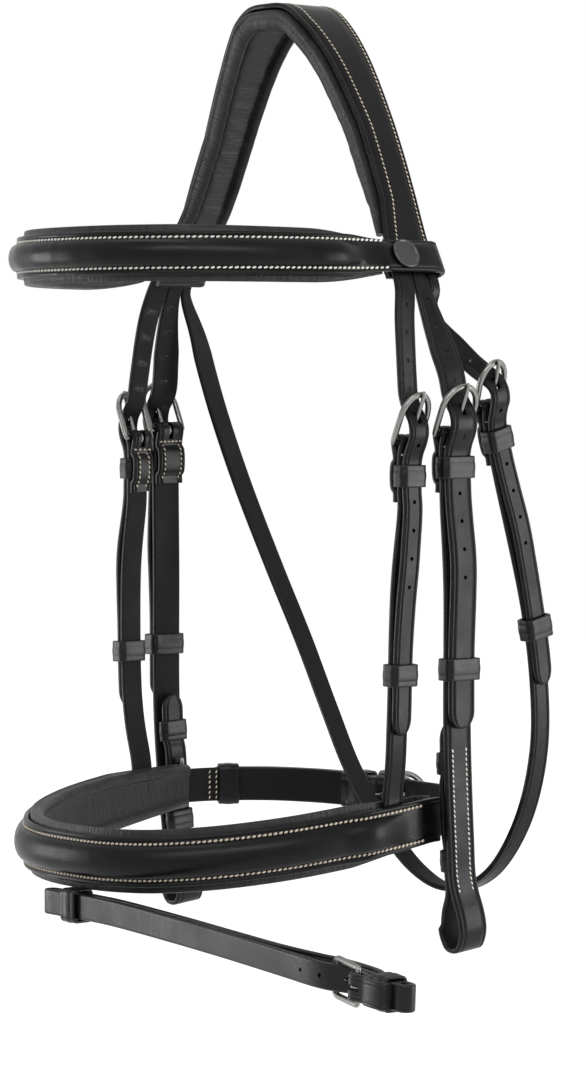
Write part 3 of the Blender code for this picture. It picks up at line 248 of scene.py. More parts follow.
# Outlines of the crown's and the bands' padding: shares of the width, the edge and the middle thickness
CROWN_PAD_SHARES = ((-0.44, 0.0, 0.0), (0.44, 0.0, 0.0), (0.5, 0.35, 0.0), (0.48, 0.75, 0.0),
                    (0.42, 1.0, 0.0), (0.355, 0.86, 0.0), (0.325, 0.54, 0.0), (0.29, 0.56, 0.0),
                    (0.2, 0.0, 0.86), (-0.2, 0.0, 0.86), (-0.29, 0.56, 0.0), (-0.325, 0.54, 0.0),
                    (-0.355, 0.86, 0.0), (-0.42, 1.0, 0.0), (-0.48, 0.75, 0.0), (-0.5, 0.35, 0.0))
BAND_PAD_SHARES = ((-0.44, 0.0, 0.0), (0.44, 0.0, 0.0), (0.5, 0.35, 0.0), (0.48, 0.75, 0.0),
                   (0.41, 1.0, 0.0), (0.32, 0.9, 0.1), (0.22, 0.0, 1.0), (-0.22, 0.0, 1.0),
                   (-0.32, 0.9, 0.1), (-0.41, 1.0, 0.0), (-0.48, 0.75, 0.0), (-0.5, 0.35, 0.0))

# Sides
NEAR = 1
OFF = -1
SIDES = (("near", NEAR), ("off", OFF))

# Stage
FLOOR_HALF = 8.0
FLOOR_HEIGHT = -1.1
FLOOR_GLOW = 0.8
WORLD_STRENGTH = 0.35
CAMERA_AZIMUTH = 50.0
CAMERA_RISE = 2.4
CAMERA_DISTANCE = 2.0
CAMERA_TARGET = (0.0, 0.0, -0.275)
CAMERA_SENSOR = 36.0
CAMERA_LENS = 3700.0 / 1080.0 * CAMERA_SENSOR
LAMPS = (("key", (1.55, -1.31, 0.83), (0.0, 0.0, -0.25), (3.0, 0.35), 30.0),
         ("left", (-1.53, -1.03, -0.35), (0.0, 0.0, -0.35), (0.3, 0.8), 9.0),
         ("side", (1.5, 1.25, -0.3), (0.0, 0.0, -0.3), (0.7, 1.1), 20.0),
         ("top", (-0.1, -0.5, 1.6), (0.0, 0.0, -0.25), (1.6, 0.5), 8.0))

# Sizes of the dressed pieces that the solids don't have, or have a little larger or smaller
CROWN_CUT = 0.1275
PUNCH_RADIUS = 0.0011
FRAME_WIRE = 0.0016
FRAME_SWELL = 0.004
TONGUE_WIRE = 0.0012
TONGUE_TAPER_SHARES = ((0.0, 0.9), (0.6, 1.0), (0.95, 0.85), (1.0, 0.7))
SLOT_LENGTH_SHARE = 0.4
SHOULDER_SHARE = 0.45
STUD_EASE = 0.0003
BAND_SHOWN = 0.0255
BAND_ROLL_START = 0.012
BROW_ROLL_LATE = 0.01
BROW_PAD_SHOWN = 0.0272
PAD_TAPER = 0.045
SEAT_EASE = 0.012
LOOP_NEAR = 0.001
HOOK_NARROWING = 0.012
FLASH_TURN_ANGLES = (-60, -30, 0, 30, 60)
FLASH_FOLD_ANGLES = (120, 150, 180, 210, 240)

# Leather's edges, crease lines and round tips, and the marks that rub the edges
EDGE_SHARE = 0.8
INSET_SHARE = 0.4
DIP_SHARE = 0.2
GROOVE_SHARE = 0.16
LIP_SHARE = 0.2
CREST_SHARE = 0.5
LOW_MARK = 0.5
TOP_MARK_LOSS = 0.3
CREASE_MARK = 0.15
TIP_EASE = 0.0012
TIP_EDGE_SHARE = 0.12
TIP_LEAST_WIDE = 0.14
TIP_LEAST_THIN = 0.3

# Keepers
KEEPER_PUFF = 0.00025
KEEPER_CORNER_SHARE = 1.5
KEEPER_CORNER_STEPS = 6
KEEPER_SIDE_SHARES = (0.12, 0.5, 0.88)
KEEPER_LEAST_SIDE = 0.001

# Creases of the padding: noise scales along and across, and what they do at the edges and the middle
FOLD_SCALES = (210.0, 38.0)
WAVE_SCALES = (70.0, 26.0)
WAVE_AWAY = 7
FOLD_SHARES = (0.2, 0.8)
WAVE_SHARES = (0.3, 0.3)
PAD_MIDDLE_SHARE = 0.72
PAD_BACK_SHARE = 0.15
PAD_BACK_RISE = 3
CROWN_CRUMPLE = 3
BROW_CRUMPLE = 11
BAND_CRUMPLE = 23

# Relief of the padding's surface
FOLD_RELIEF = 0.0014

# Fineness of the dressed pieces
FINE_STEP = 0.0024
PAD_STEP = FINE_STEP * 0.8
FINE_TURNS = 12
TANGENT_STEPS = 400
CORNER_STEPS = 3
ROLL_POINTS = 13
PAD_STEPS = 4
ROD_SIDES = 16
ROD_END_SHARES = ((0.5, 0.45), (0.35, 0.8))
HOLE_ROUND = 16
MEDALLION_STEPS = 64
TONGUE_STEPS = 5
BAR_STEPS = 9
BEND_STEPS = 4
BEND_START = 0.3
LEG_STEPS = 6
FRAME_ARCH_STEPS = 30
LOOP_TURN_ROWS = 10
CHAPE_ROWS = 60
SHARP_ANGLE = math.radians(50)

# Places of the seams, across the strap from its middle or in from its edge, and along it
CROWN_FRONT_SEAM = 0.0075
CROWN_REAR_SEAM = 0.0028
CROWN_SEAM_START = 0.006
CHEEK_SEAM = 0.0047
CHEEK_SEAM_START = 0.010
CHEEK_SEAM_END = 0.031
CHAPE_SEAM_START = 0.002
CHAPE_SEAM_END = 0.008
CHAPE_SEAM_INSETS = 1.5
BAR_STITCH_PLACE = 0.0063
BAND_SEAM_START = 0.006
REAR_SEAMS = (0.0015, 0.0055)
CROSS_SEAM_SHARE = 0.76
CROSS_SEAM_POINTS = 9
ROLL_SEAM = 0.0005
SEAM_SINK = 0.0001

seams = {}


def smooth(points, steps):
    """An even curve through the points, with the given steps from each to the next."""
    places = [np.array(p, float) for p in points]
    places = [2 * places[0] - places[1]] + places + [2 * places[-1] - places[-2]]
    result = []
    for index in range(1, len(places) - 2):
        before, start, end, after = places[index - 1:index + 3]
        for step in range(steps):
            t = step / steps
            linear = (end - before) * t
            square = (2 * before - 5 * start + 4 * end - after) * t ** 2
            cube = (3 * start - before - 3 * end + after) * t ** 3
            result.append(start + (linear + square + cube) / 2)
    result.append(places[-2])
    return result


def unit(vector):
    return vector / np.linalg.norm(vector)


class Route:
    """A strap's way: points along it, each with the direction its face looks in."""

    def __init__(self, places, facings, steps=8):
        self.points = smooth(places, steps)
        self.facings = smooth(facings, steps)
        gaps = [np.linalg.norm(b - a) for a, b in zip(self.points, self.points[1:])]
        self.reach = np.concatenate([[0.0], np.cumsum(gaps)])
        self.length = self.reach[-1]

    def pick(self, values, s):
        return np.array([np.interp(s, self.reach, [v[k] for v in values]) for k in range(3)])

    def along(self, s):
        """Direction of travel at the distance s."""
        step = self.length / TANGENT_STEPS
        low = min(max(s - step, 0.0), self.length - 2 * step)
        return unit(self.pick(self.points, low + 2 * step) - self.pick(self.points, low))

    def axes(self, s):
        """Across, along and outward at the distance s."""
        along = self.along(s)
        facing = self.pick(self.facings, s)
        outward = unit(facing - along * np.dot(facing, along))
        return np.cross(along, outward), along, outward

    def centre(self, s):
        """The point at the distance s, which runs straight on past either end."""
        extra = s - min(max(s, 0.0), self.length)
        return self.pick(self.points, s) + self.along(s) * extra

    def at(self, s, out=0.0, side=0.0):
        across, along, outward = self.axes(s)
        return self.centre(s) + outward * out + across * side

    def matrix(self, s, out=0.0):
        """Place of a piece whose X is across, Y along and Z outward."""
        across, along, outward = self.axes(s)
        place = self.centre(s) + outward * out
        columns = Matrix((across, along, outward)).transposed().to_4x4()
        return Matrix.Translation(place) @ columns

    def find(self, axis, value):
        """The distance at which the route first crosses a level of X, Y or Z."""
        levels = [point[axis] - value for point in self.points]
        for index in range(len(levels) - 1):
            if levels[index] * levels[index + 1] <= 0:
                share = levels[index] / (levels[index] - levels[index + 1])
                return self.reach[index] + share * (self.reach[index + 1] - self.reach[index])
        raise ValueError("route never crosses the level")


def between(low, high, share):
    return low + (high - low) * share


def eased(distance, length):
    """How far a taper has grown at a distance from its start, from 0 to 1."""
    return math.sin(min(1.0, distance / length) * math.pi / 2)


def spaced(start, end, step):
    """Even distances from start to end, about a step apart."""
    count = max(1, round(abs(end - start) / step))
    return [start + (end - start) * k / count for k in range(count + 1)]


def flared(width, start_width, distance):
    """Width of a strap at a distance from the split, where it starts narrower."""
    return between(start_width, width, min(1.0, distance / FLARE_LENGTH))


def chape_line(hinge, strap_end, length):
    """A buckle strap's line: its turned-in end, the eye round the bar and the way down."""
    keeper = hinge + FIXED_KEEPER_PLACE
    half = KEEPER_WIDTH / 2 + SLACK
    slope = KEEPER_WIDTH / 6
    inner = [(hinge + length, -MAIN_OUT), (keeper + half + slope, -MAIN_OUT), (keeper + half, INNER_OUT),
             (keeper - half, INNER_OUT), (keeper - half - slope, -MAIN_OUT)]
    eye = []
    for angle in EYE_ANGLES:
        turn = math.radians(angle)
        eye.append((hinge - EYE_RADIUS * math.cos(turn), EYE_RADIUS * math.sin(turn)))
    return inner + eye + [(hinge + EYE_RADIUS * 2, MAIN_OUT)] + strap_end


def billet_line(start, hinge, tip, bow, shape, step=ROW_STEP):
    """A billet's line: behind the buckle's top, out through it, over the bar and down to its tip."""
    profile, bulge = shape
    top = [(hinge + along * BUCKLE_LENGTH, out * bulge) for along, out in profile]
    top_start, top_out = top[0]
    lead = []
    for s in spaced(start, top_start, step)[:-1]:
        lead.append((s, top_out * (s - start) / (top_start - start)))
    keeper_top = hinge + FIXED_KEEPER_PLACE - KEEPER_WIDTH / 2 - SLACK
    keeper_end = keeper_top + KEEPER_WIDTH + 2 * SLACK
    down = [(keeper_top, BILLET_OUT), (keeper_end, BILLET_OUT)]
    clear = RUNNER_FROM_TIP + KEEPER_WIDTH / 2 + RUNNER_TRAVEL * 1.5 if bow else TIP_LENGTH + step
    straight = tip - clear
    if straight > keeper_end:
        for s in spaced(keeper_end, straight, step)[1:]:
            share = (s - keeper_end) / (straight - keeper_end)
            down.append((s, BILLET_OUT + bow * math.sin(math.pi * share) ** 2))
    return lead + top + down + [(s, BILLET_OUT) for s in tip_steps(tip)]


def tip_steps(end):
    """Distances of the rows that shape a rounded strap tip."""
    return [end - TIP_LENGTH * share for share in TIP_STEP_SHARES]


def tongue_points(length):
    """A tongue: most of a turn round the bar, straight up to the frame's top and just over it."""
    points = []
    for step in range(TONGUE_TURN_STEPS + 1):
        angle = TONGUE_TURN * (step / TONGUE_TURN_STEPS - 1)
        points.append((0.0, -TONGUE_RING * math.sin(angle), TONGUE_RING * math.cos(angle)))
    points += [(0.0, -length / 2, TONGUE_RING), (0.0, -length, TONGUE_RING),
               (0.0, -length - WIRE_RADIUS - TONGUE_RADIUS, TONGUE_RING - TONGUE_RADIUS)]
    return points


def place(shares, side=NEAR):
    """A place given in shares, on the near or the off side."""
    return np.array((side * shares[0] * SPREAD, shares[1] * FAN, -shares[2] * HANG))


def head_edges(x):
    """Front and rear edge of the headpiece at a place along X."""
    level = min(abs(x) / HEAD_HALF, 1.0)
    places, front, rear = zip(*HEAD_EDGE_SHARES)
    return np.interp(level, places, front) * HEAD_WIDTH, np.interp(level, places, rear) * HEAD_WIDTH


def column_share(column):
    """Middle of one of the billets, as a share of the headpiece's width."""
    shares = np.cumsum((0.0,) + SPLIT_WIDTHS) / sum(SPLIT_WIDTHS)
    return (shares[column] + shares[column + 1]) / 2


def split_place(column, side):
    """Where one of the billets leaves the headpiece."""
    front, rear = head_edges(HEAD_HALF)
    drop = ARCH_TOP - ARCH_SHARES[-1][1] * HEAD_DROP
    return np.array((side * HEAD_HALF, between(front, rear, column_share(column)), drop))


def arch_line(steps):
    """The headpiece's way over the poll, from the off side to the near side, as X and Z."""
    half = [(x * HEAD_HALF, ARCH_TOP - z * HEAD_DROP) for x, z in ARCH_SHARES]
    return smooth([(-x, z) for x, z in reversed(half[1:])] + half, steps)


def hole_matrices(route, bar, line, tip, above):
    """Places of a billet's holes, the one in use left out."""
    used = bar - BUCKLE_LENGTH * CROSSING_SHARE * math.cos(BUCKLE_TILT)
    reach = [s for s, _ in line]
    heights = [out for _, out in line]
    places = [used + HOLE_PITCH * k for k in range(-above, HOLES_BELOW + 1) if k]
    return [route.matrix(s, np.interp(s, reach, heights)) for s in places if s < tip - TIP_LENGTH]


def bit_loop_line(bottom, lower_keeper, upper_keeper, stud, tip):
    """The cheekpiece's lower end: round the bit ring's space and up inside to its tip."""
    half = (LOOP_INNER_WIDTH + LEATHER) / 2
    outer = [(bottom - along * LOOP_HEIGHT, MAIN_OUT + (half - MAIN_OUT) * out)
             for along, out in LOOP_SHARES]
    inner = [(s, -out) for s, out in reversed(outer[1:])]
    reach = KEEPER_WIDTH / 2 + SLACK
    tail = [(lower_keeper + reach, INNER_OUT), (lower_keeper - reach, INNER_OUT),
            ((lower_keeper + stud) / 2, INNER_OUT - BOW / 2), (stud, INNER_OUT - BOW / 2),
            ((stud + upper_keeper) / 2, INNER_OUT - BOW / 2),
            (upper_keeper + reach, INNER_OUT), (upper_keeper - reach, INNER_OUT)]
    end = [(s, INNER_OUT) for s in (tip + TIP_LENGTH, tip + TIP_LENGTH / 2, tip + TIP_LENGTH / 6, tip)]
    return outer + inner, tail + end


def plan_point(shares, half, front, rear, drop, slope=0.0):
    """A point of a band's plan, given in shares of its half width and its front or rear reach."""
    y = shares[1] * (front if shares[1] < 0 else rear)
    return np.array((shares[0] * half, y, -drop + slope * min(y, 0.0)))


def leg_route():
    """The headpiece's way from the off side to the near side, level along Y."""
    points = [np.array((x, 0.0, z)) for x, z in arch_line(4)]
    return Route(points, [np.array((p[0], 0.0, p[2] + HEAD_HALF)) for p in points], 1)


def swell(s, first, last, taper):
    """How far a roll has risen at a station, from 0 at its ends to 1."""
    share = max(0.0, min(1.0, (s - first) / taper, (last - s) / taper))
    return math.sin(share * math.pi / 2) ** 2


def brow_loop():
    """The near end loop round the headpiece, from its returned end to the front: places and facings."""
    leg = leg_route()
    crossing = leg.length - leg.find(2, -BROW_DROP)
    outward = leg.axes(crossing)[2]
    rear = np.array((0.0, 1.0, 0.0))
    levels = [leg.find(2, -BROW_DROP + half) for half in (-BROW_END_HEIGHT / 2, BROW_END_HEIGHT / 2)]
    edges = [head_edges(leg.centre(s)[0]) for s in levels]
    front, back = min(e[0] for e in edges), max(e[1] for e in edges)
    centre = leg.centre(crossing) + rear * (front + back) / 2
    radius = LEATHER + BROW_SLACK
    reach = (back - front) / 2 + BROW_SLACK + LEATHER / 2 - radius
    ends = [-reach * share for share in BROW_LOOP_SHARES]
    places = [centre + rear * y - outward * radius for y in ends]
    facings = [-outward] * len(ends)
    for angle in (-90, -54, -18, 18, 54, 90):
        turn = math.radians(angle)
        facing = rear * math.cos(turn) + outward * math.sin(turn)
        places.append(centre + rear * reach + facing * radius)
        facings.append(facing)
    ends.insert(0, -reach * BROW_REACH_SHARE)
    places += [centre + rear * y + outward * radius for y in reversed(ends)]
    facings += [outward] * len(ends)
    return places, facings


def mirrored(vector):
    return vector * np.array((-1.0, 1.0, 1.0))


def pad_start(route, y):
    """Where the near half of the browband first comes forward of a place along Y."""
    return next(s for s, point in zip(route.reach, route.points) if point[1] < y)


def band_route(shares_near, middle, shares_off):
    """A level route round the noseband's plan, facing outwards."""
    near = [plan_point(p, RING_HALF, RING_FRONT, RING_REAR, RING_DROP, RING_SLOPE) for p in shares_near]
    off = [plan_point(p, RING_HALF, RING_FRONT, RING_REAR, RING_DROP, RING_SLOPE) for p in shares_off]
    places = near + middle + off
    return Route(places, [np.array((p[0], p[1] + RING_MIDDLE * RING_FRONT, 0.0)) for p in places])


def fine_line(line, step=FINE_STEP):
    """Distances and heights of a line joined by a rounded curve, about a step apart."""
    points = [np.array(p, float) for p in line]
    points = [2 * points[0] - points[1]] + points + [2 * points[-1] - points[-2]]
    result = []
    for before, start, end, after in zip(points, points[1:], points[2:], points[3:]):
        reach = np.linalg.norm(end - start)
        count = max(3, math.ceil(reach / step))
        knots = np.cumsum([0.0] + [max(np.linalg.norm(b - a), 1e-9) ** 0.5
                                   for a, b in ((before, start), (start, end), (end, after))])
        for k in range(count):
            t = knots[1] + (knots[2] - knots[1]) * k / count
            result.append(pyramid((before, start, end, after), knots, t))
    result.append(points[-2])
    return result


def pyramid(points, knots, t):
    """A point of the rounded curve between the second and the third of four points."""
    level = list(points)
    for depth in (1, 2, 3):
        reach = {1: 1, 2: 2, 3: 1}[depth]
        rows = []
        for k in range(len(level) - 1):
            low = k if depth < 3 else 1
            low_knot, high_knot = knots[low], knots[low + reach]
            rows.append((level[k] * (high_knot - t) + level[k + 1] * (t - low_knot)) / (high_knot - low_knot))
        level = rows
    return level[0]


class Laid:
    """Stations of a strap in space, each with its across, along and outward directions."""

    def __init__(self, places, across, reach, closed=False):
        self.places = np.array(places)
        self.reach = np.array(reach)
        if closed:
            step = np.roll(self.places, -1, 0) - np.roll(self.places, 1, 0)
        else:
            step = np.gradient(self.places, axis=0)
        self.along = step / np.linalg.norm(step, axis=1)[:, None]
        across = np.array(across)
        across = across - self.along * np.sum(across * self.along, axis=1)[:, None]
        self.across = across / np.linalg.norm(across, axis=1)[:, None]
        self.out = np.cross(self.across, self.along)
        gaps = np.linalg.norm(np.diff(self.places, axis=0), axis=1)
        self.walk = np.concatenate([[0.0], np.cumsum(gaps)])
        self.closed = closed


def lay(route, line):
    """Stations along a route's line of distances and heights."""
    places = [route.at(s, out) for s, out in line]
    return Laid(places, [route.axes(s)[0] for s, _ in line], [s for s, _ in line])


def sizes():
    return bpy.context.scene.bridle_sizes


def strap_section(half, thick, roll=0.0, roll_half=0.0, thin=1.0, creased=1.0, crest=1):
    """A strap's outline, as rows of across, out and edge mark: eased edges, crease lines and a roll."""
    t = thick / 2 * thin
    r = min(sizes().edge_radius, t * EDGE_SHARE, half * EDGE_SHARE)
    inset = min(sizes().crease_inset, half * INSET_SHARE)
    dip = min(sizes().crease_depth, t * DIP_SHARE) * creased
    groove = inset * GROOVE_SHARE
    corner = [math.radians(90 * k / CORNER_STEPS) for k in range(CORNER_STEPS + 1)]
    right = [(half - r - inset * LIP_SHARE, -t, 0.0)]
    right += [(half - r + r * math.sin(a), -t + r - r * math.cos(a), between(LOW_MARK, 1.0, math.sin(a)))
              for a in corner]
    right += [(half - r + r * math.cos(a), t - r + r * math.sin(a), 1.0 - TOP_MARK_LOSS * math.sin(a))
              for a in corner]
    c = half - inset
    right += [(c + groove, t, CREASE_MARK), (c, t - dip, 0.0), (c - groove, t, CREASE_MARK)]
    spread = min(roll_half or half * CREST_SHARE, c - groove * 2)
    turns = [math.pi * (k / (ROLL_POINTS - 1) - 0.5) for k in range(ROLL_POINTS)]
    face = [(-spread * math.sin(a), t + roll * math.cos(a) ** crest, 0.0) for a in turns]
    left = [(-a, n, e) for a, n, e in reversed(right)]
    return np.array(right + face + left)


def skin(name, laid, sections, material):
    """A closed piece through one outline at each station, with its cut lengths as UV and its marks."""
    sections = np.array(sections)
    rows, count = sections.shape[:2]
    points = laid.places[:, None] + laid.across[:, None] * sections[..., :1]
    points = points + laid.out[:, None] * sections[..., 1:2]
    faces, chart = [], []
    around = np.concatenate([[0.0], np.cumsum(np.linalg.norm(
        np.diff(np.vstack([sections[rows // 2], sections[rows // 2][:1]])[:, :2], axis=0), axis=1))])
    walk = list(laid.walk)
    last = rows if laid.closed else rows - 1
    if laid.closed:
        walk.append(walk[-1] + np.linalg.norm(laid.places[0] - laid.places[-1]))
    for i in range(last):
        after = (i + 1) % rows
        for j in range(count):
            k = (j + 1) % count
            faces.append((i * count + j, after * count + j, after * count + k, i * count + k))
            chart += [(walk[i], around[j]), (walk[i + 1], around[j]), (walk[i + 1], around[j + 1]),
                      (walk[i], around[j + 1])]
    if not laid.closed:
        faces.append(tuple(range(count)))
        faces.append(tuple((rows - 1) * count + j for j in reversed(range(count))))
        chart += [(walk[0], around[j]) for j in range(count)]
        chart += [(walk[-1], around[j]) for j in reversed(range(count))]
    mesh = bpy.data.meshes.new(name)
    mesh.from_pydata(points.reshape(-1, 3), [], faces)
    mesh.uv_layers.new(name="cut").data.foreach_set("uv", np.array(chart, np.float32).ravel())
    marks = mesh.attributes.new("edge", "FLOAT", "POINT")
    marks.data.foreach_set("value", sections[..., 2].astype(np.float32).ravel())
    inmost = sections[..., 1].min(axis=1, keepdims=True)
    flesh = mesh.attributes.new("flesh", "FLOAT", "POINT")
    flesh.data.foreach_set("value", np.isclose(sections[..., 1], inmost).astype(np.float32).ravel())
    return add_piece(name, mesh, material)


def add_piece(name, mesh, material):
    mesh.materials.clear()
    mesh.materials.append(material)
    mesh.polygons.foreach_set("use_smooth", [True] * len(mesh.polygons))
    mesh.set_sharp_from_angle(angle=SHARP_ANGLE)
    item = bpy.data.objects.new(name, mesh)
    bpy.context.scene.collection.objects.link(item)
    return item


def dress(item, body, slot, *nodes):
    """Make a finished piece ride on a body and stand for its nodes."""
    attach(item, body)
    if nodes:
        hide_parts(*nodes)
    return item


def carve(item, holes=(), blocks=()):
    """Cut round holes and square slots out of a piece and keep the plain mesh."""
    shape = bmesh.new()
    for matrix, radius, depth in holes:
        bmesh.ops.create_cone(shape, cap_ends=True, segments=HOLE_ROUND, radius1=radius, radius2=radius,
                              depth=depth, matrix=matrix)
    for matrix, size in blocks:
        bmesh.ops.create_cube(shape, size=1.0, matrix=matrix @ Matrix.Diagonal((*size, 1.0)))
    mesh = bpy.data.meshes.new("holes")
    shape.to_mesh(mesh)
    shape.free()
    cutter = bpy.data.objects.new("holes", mesh)
    bpy.context.scene.collection.objects.link(cutter)
    cut = item.modifiers.new("holes", "BOOLEAN")
    cut.operation = "DIFFERENCE"
    cut.solver = "EXACT"
    cut.object = cutter
    made = bpy.data.meshes.new_from_object(item.evaluated_get(bpy.context.evaluated_depsgraph_get()))
    item.modifiers.remove(cut)
    bpy.data.objects.remove(cutter)
    if len(made.polygons) < len(item.data.polygons) / 2:
        raise RuntimeError("cutting the holes of " + item.name + " failed")
    made.name = item.name
    made.polygons.foreach_set("use_smooth", [True] * len(made.polygons))
    made.set_sharp_from_angle(angle=SHARP_ANGLE)
    item.data = made
    return item


def tip_shape(left):
    """Width share and thickness share at a distance left to a strap's round tip."""
    left = max(0.0, left)
    wide = math.sqrt(max(0.0, 1 - max(0.0, 1 - left / TIP_LENGTH) ** 2))
    thin = math.sqrt(min(1.0, left / TIP_EASE + TIP_EDGE_SHARE))
    return max(wide, TIP_LEAST_WIDE), max(thin, TIP_LEAST_THIN)


def plain_strap(name, route, line, half_at, material, tip=None, tip_from=0.0):
    """A strap with crease lines, whose half width may change with the distance, and its stations."""
    laid = lay(route, fine_line(line))
    sections = []
    for s in laid.reach:
        wide, thin = tip_shape(tip - s) if tip and s > tip_from else (1.0, 1.0)
        sections.append(strap_section(half_at(s) * wide, LEATHER, thin=thin))
    return skin(name, laid, sections, material), laid


def seam(thread, laid, first, last, side, height):
    """A row of stitches to come, along part of a strap; side and height may change with the station."""
    rows = [index for index, s in enumerate(laid.walk) if first <= s <= last]
    points, ups = [], []
    for index in rows:
        across = side(laid.reach[index], index) if callable(side) else side
        above = height(index) if callable(height) else height
        points.append(laid.places[index] + laid.across[index] * across + laid.out[index] * above)
        ups.append(laid.out[index])
    seams.setdefault(thread, []).append((points, ups))


def cross_seam(route, s, width, out, thread="bar"):
    """A row of stitches straight across a strap, on the face at the height out."""
    up = route.axes(s)[2] * math.copysign(1.0, out)
    reach = np.linspace(-width / 2, width / 2, CROSS_SEAM_POINTS) * CROSS_SEAM_SHARE
    seams.setdefault(thread, []).append(([route.at(s, out, side) for side in reach], [up] * len(reach)))


def buckle_seams(route, laid, bar, width):
    """Rows that close a buckle strap's eye: across both its faces, and down its turned-in end."""
    face = MAIN_OUT + LEATHER / 2 + SEAM_SINK
    cross_seam(route, bar + BAR_STITCH_PLACE, width, face)
    cross_seam(route, bar + BAR_STITCH_PLACE, width, -face)
    inset = sizes().crease_inset * CHAPE_SEAM_INSETS
    for side in (-1, 1):
        seam("fine", laid, CHAPE_SEAM_START, CHAPE_LENGTH - CHAPE_SEAM_END, side * (width / 2 - inset),
             LEATHER / 2 + SEAM_SINK)


def tongue_cut(route, bar, tilt):
    """Place and size of the slot in a billet that the tongue comes through."""
    tilted = route.matrix(bar) @ Matrix.Rotation(-tilt, 4, "X")
    crossing = Matrix.Translation((0.0, -BUCKLE_LENGTH * CROSSING_SHARE, TONGUE_RING + TONGUE_PLAY / 4))
    return tilted @ crossing, (TONGUE_SLOT, BUCKLE_LENGTH * SLOT_LENGTH_SHARE, 2 * TONGUE_PLAY)


def eye_cut(route, bar):
    """Place and size of the slot in a strap's eye that the tongue turns in."""
    return route.matrix(bar), (TONGUE_SLOT, EYE_CUT, EYE_CUT)


def rod(name, points, radii, side, matrix, material, closed=False):
    """A round rod along points in one plane, whose normal is side, with eased ends."""
    points, radii = [np.array(p, float) for p in points], list(radii)
    if not closed:
        first, last = unit(points[0] - points[1]), unit(points[-1] - points[-2])
        head, tail = radii[0], radii[-1]
        points = [points[0] + first * head * past for past, _ in ROD_END_SHARES] + points
        points += [points[-1] + last * tail * past for past, _ in reversed(ROD_END_SHARES)]
        radii = [head * thin for _, thin in ROD_END_SHARES] + radii
        radii += [tail * thin for _, thin in reversed(ROD_END_SHARES)]
    count, side = len(points), np.array(side, float)
    rings = []
    for index in range(count):
        before = points[index - 1] if closed or index else points[0]
        after = points[(index + 1) % count] if closed or index + 1 < count else points[-1]
        across = np.cross(unit(after - before), side)
        for k in range(ROD_SIDES):
            angle = 2 * math.pi * k / ROD_SIDES
            rings.append(points[index] + radii[index] * (side * math.cos(angle) + across * math.sin(angle)))
    faces = []
    for i in range(count if closed else count - 1):
        after = (i + 1) % count
        for j in range(ROD_SIDES):
            k = (j + 1) % ROD_SIDES
            faces.append((i * ROD_SIDES + j, i * ROD_SIDES + k, after * ROD_SIDES + k, after * ROD_SIDES + j))
    if not closed:
        faces.append(tuple(reversed(range(ROD_SIDES))))
        faces.append(tuple((count - 1) * ROD_SIDES + j for j in range(ROD_SIDES)))
    mesh = bpy.data.meshes.new(name)
    mesh.from_pydata(rings, [], faces)
    mesh.transform(matrix)
    return add_piece(name, mesh, material)


def turned(name, profile, steps, matrix, material):
    """A piece turned about Z from a profile of radius and height that starts and ends on the axis."""
    points = [(r * math.cos(2 * math.pi * k / steps), r * math.sin(2 * math.pi * k / steps), z)
              for r, z in profile[1:-1] for k in range(steps)]
    rows = len(profile) - 2
    low, high = len(points), len(points) + 1
    points += [(0.0, 0.0, profile[0][1]), (0.0, 0.0, profile[-1][1])]
    faces = []
    for j in range(steps):
        k = (j + 1) % steps
        faces.append((low, k, j))
        faces.append((high, (rows - 1) * steps + j, (rows - 1) * steps + k))
        faces += [(i * steps + j, i * steps + k, (i + 1) * steps + k, (i + 1) * steps + j)
                  for i in range(rows - 1)]
    mesh = bpy.data.meshes.new(name)
    mesh.from_pydata(points, [], faces)
    mesh.transform(matrix)
    return add_piece(name, mesh, material)


def keeper(name, half_width, low, high, matrix, material):
    """A leather loop round a flat stack, with rounded corners and a slightly domed face."""
    radius = min(KEEPER_LEATHER * KEEPER_CORNER_SHARE, (high - low) / 2)
    centres = ((half_width - radius, high - radius, 0), (radius - half_width, high - radius, 90),
               (radius - half_width, low + radius, 180), (half_width - radius, low + radius, 270))
    path = []
    for index, (x, z, start) in enumerate(centres):
        for k in range(KEEPER_CORNER_STEPS + 1):
            angle = math.radians(start + 90 * k / KEEPER_CORNER_STEPS)
            path.append((x + radius * math.cos(angle), z + radius * math.sin(angle)))
        after = centres[(index + 1) % 4]
        turn = math.radians(after[2])
        end = (after[0] + radius * math.cos(turn), after[1] + radius * math.sin(turn))
        if math.dist(path[-1], end) > KEEPER_LEAST_SIDE:
            corner = path[-1]
            path += [tuple(between(a, b, share) for a, b in zip(corner, end)) for share in KEEPER_SIDE_SHARES]
        else:
            path.pop()
    frame_axes = np.array(matrix)[:3, :3]
    origin = np.array(matrix)[:3, 3]
    places = [origin + frame_axes @ np.array((x, 0.0, z)) for x, z in path]
    laid = Laid(places, [frame_axes[:, 1]] * len(places), [0.0] * len(places), closed=True)
    section = strap_section(KEEPER_WIDTH / 2, KEEPER_LEATHER, KEEPER_PUFF, KEEPER_WIDTH / 2,
                            creased=0.0, crest=2)
    return skin(name, laid, [section] * len(places), material)


def pad_outline(width, top, edge, centre, share, shares=BAND_PAD_SHARES):
    """A pad's outline as rows of across and out: flat against the leather, rolled at both edges."""
    corners = [np.array((width * across, top - share * (edge * rolled + centre * flat)))
               for across, rolled, flat in reversed(shares)]
    ring = smooth([corners[-1]] + corners + corners[:2], PAD_STEPS)
    return np.array(ring[PAD_STEPS:PAD_STEPS * (len(corners) + 1)])


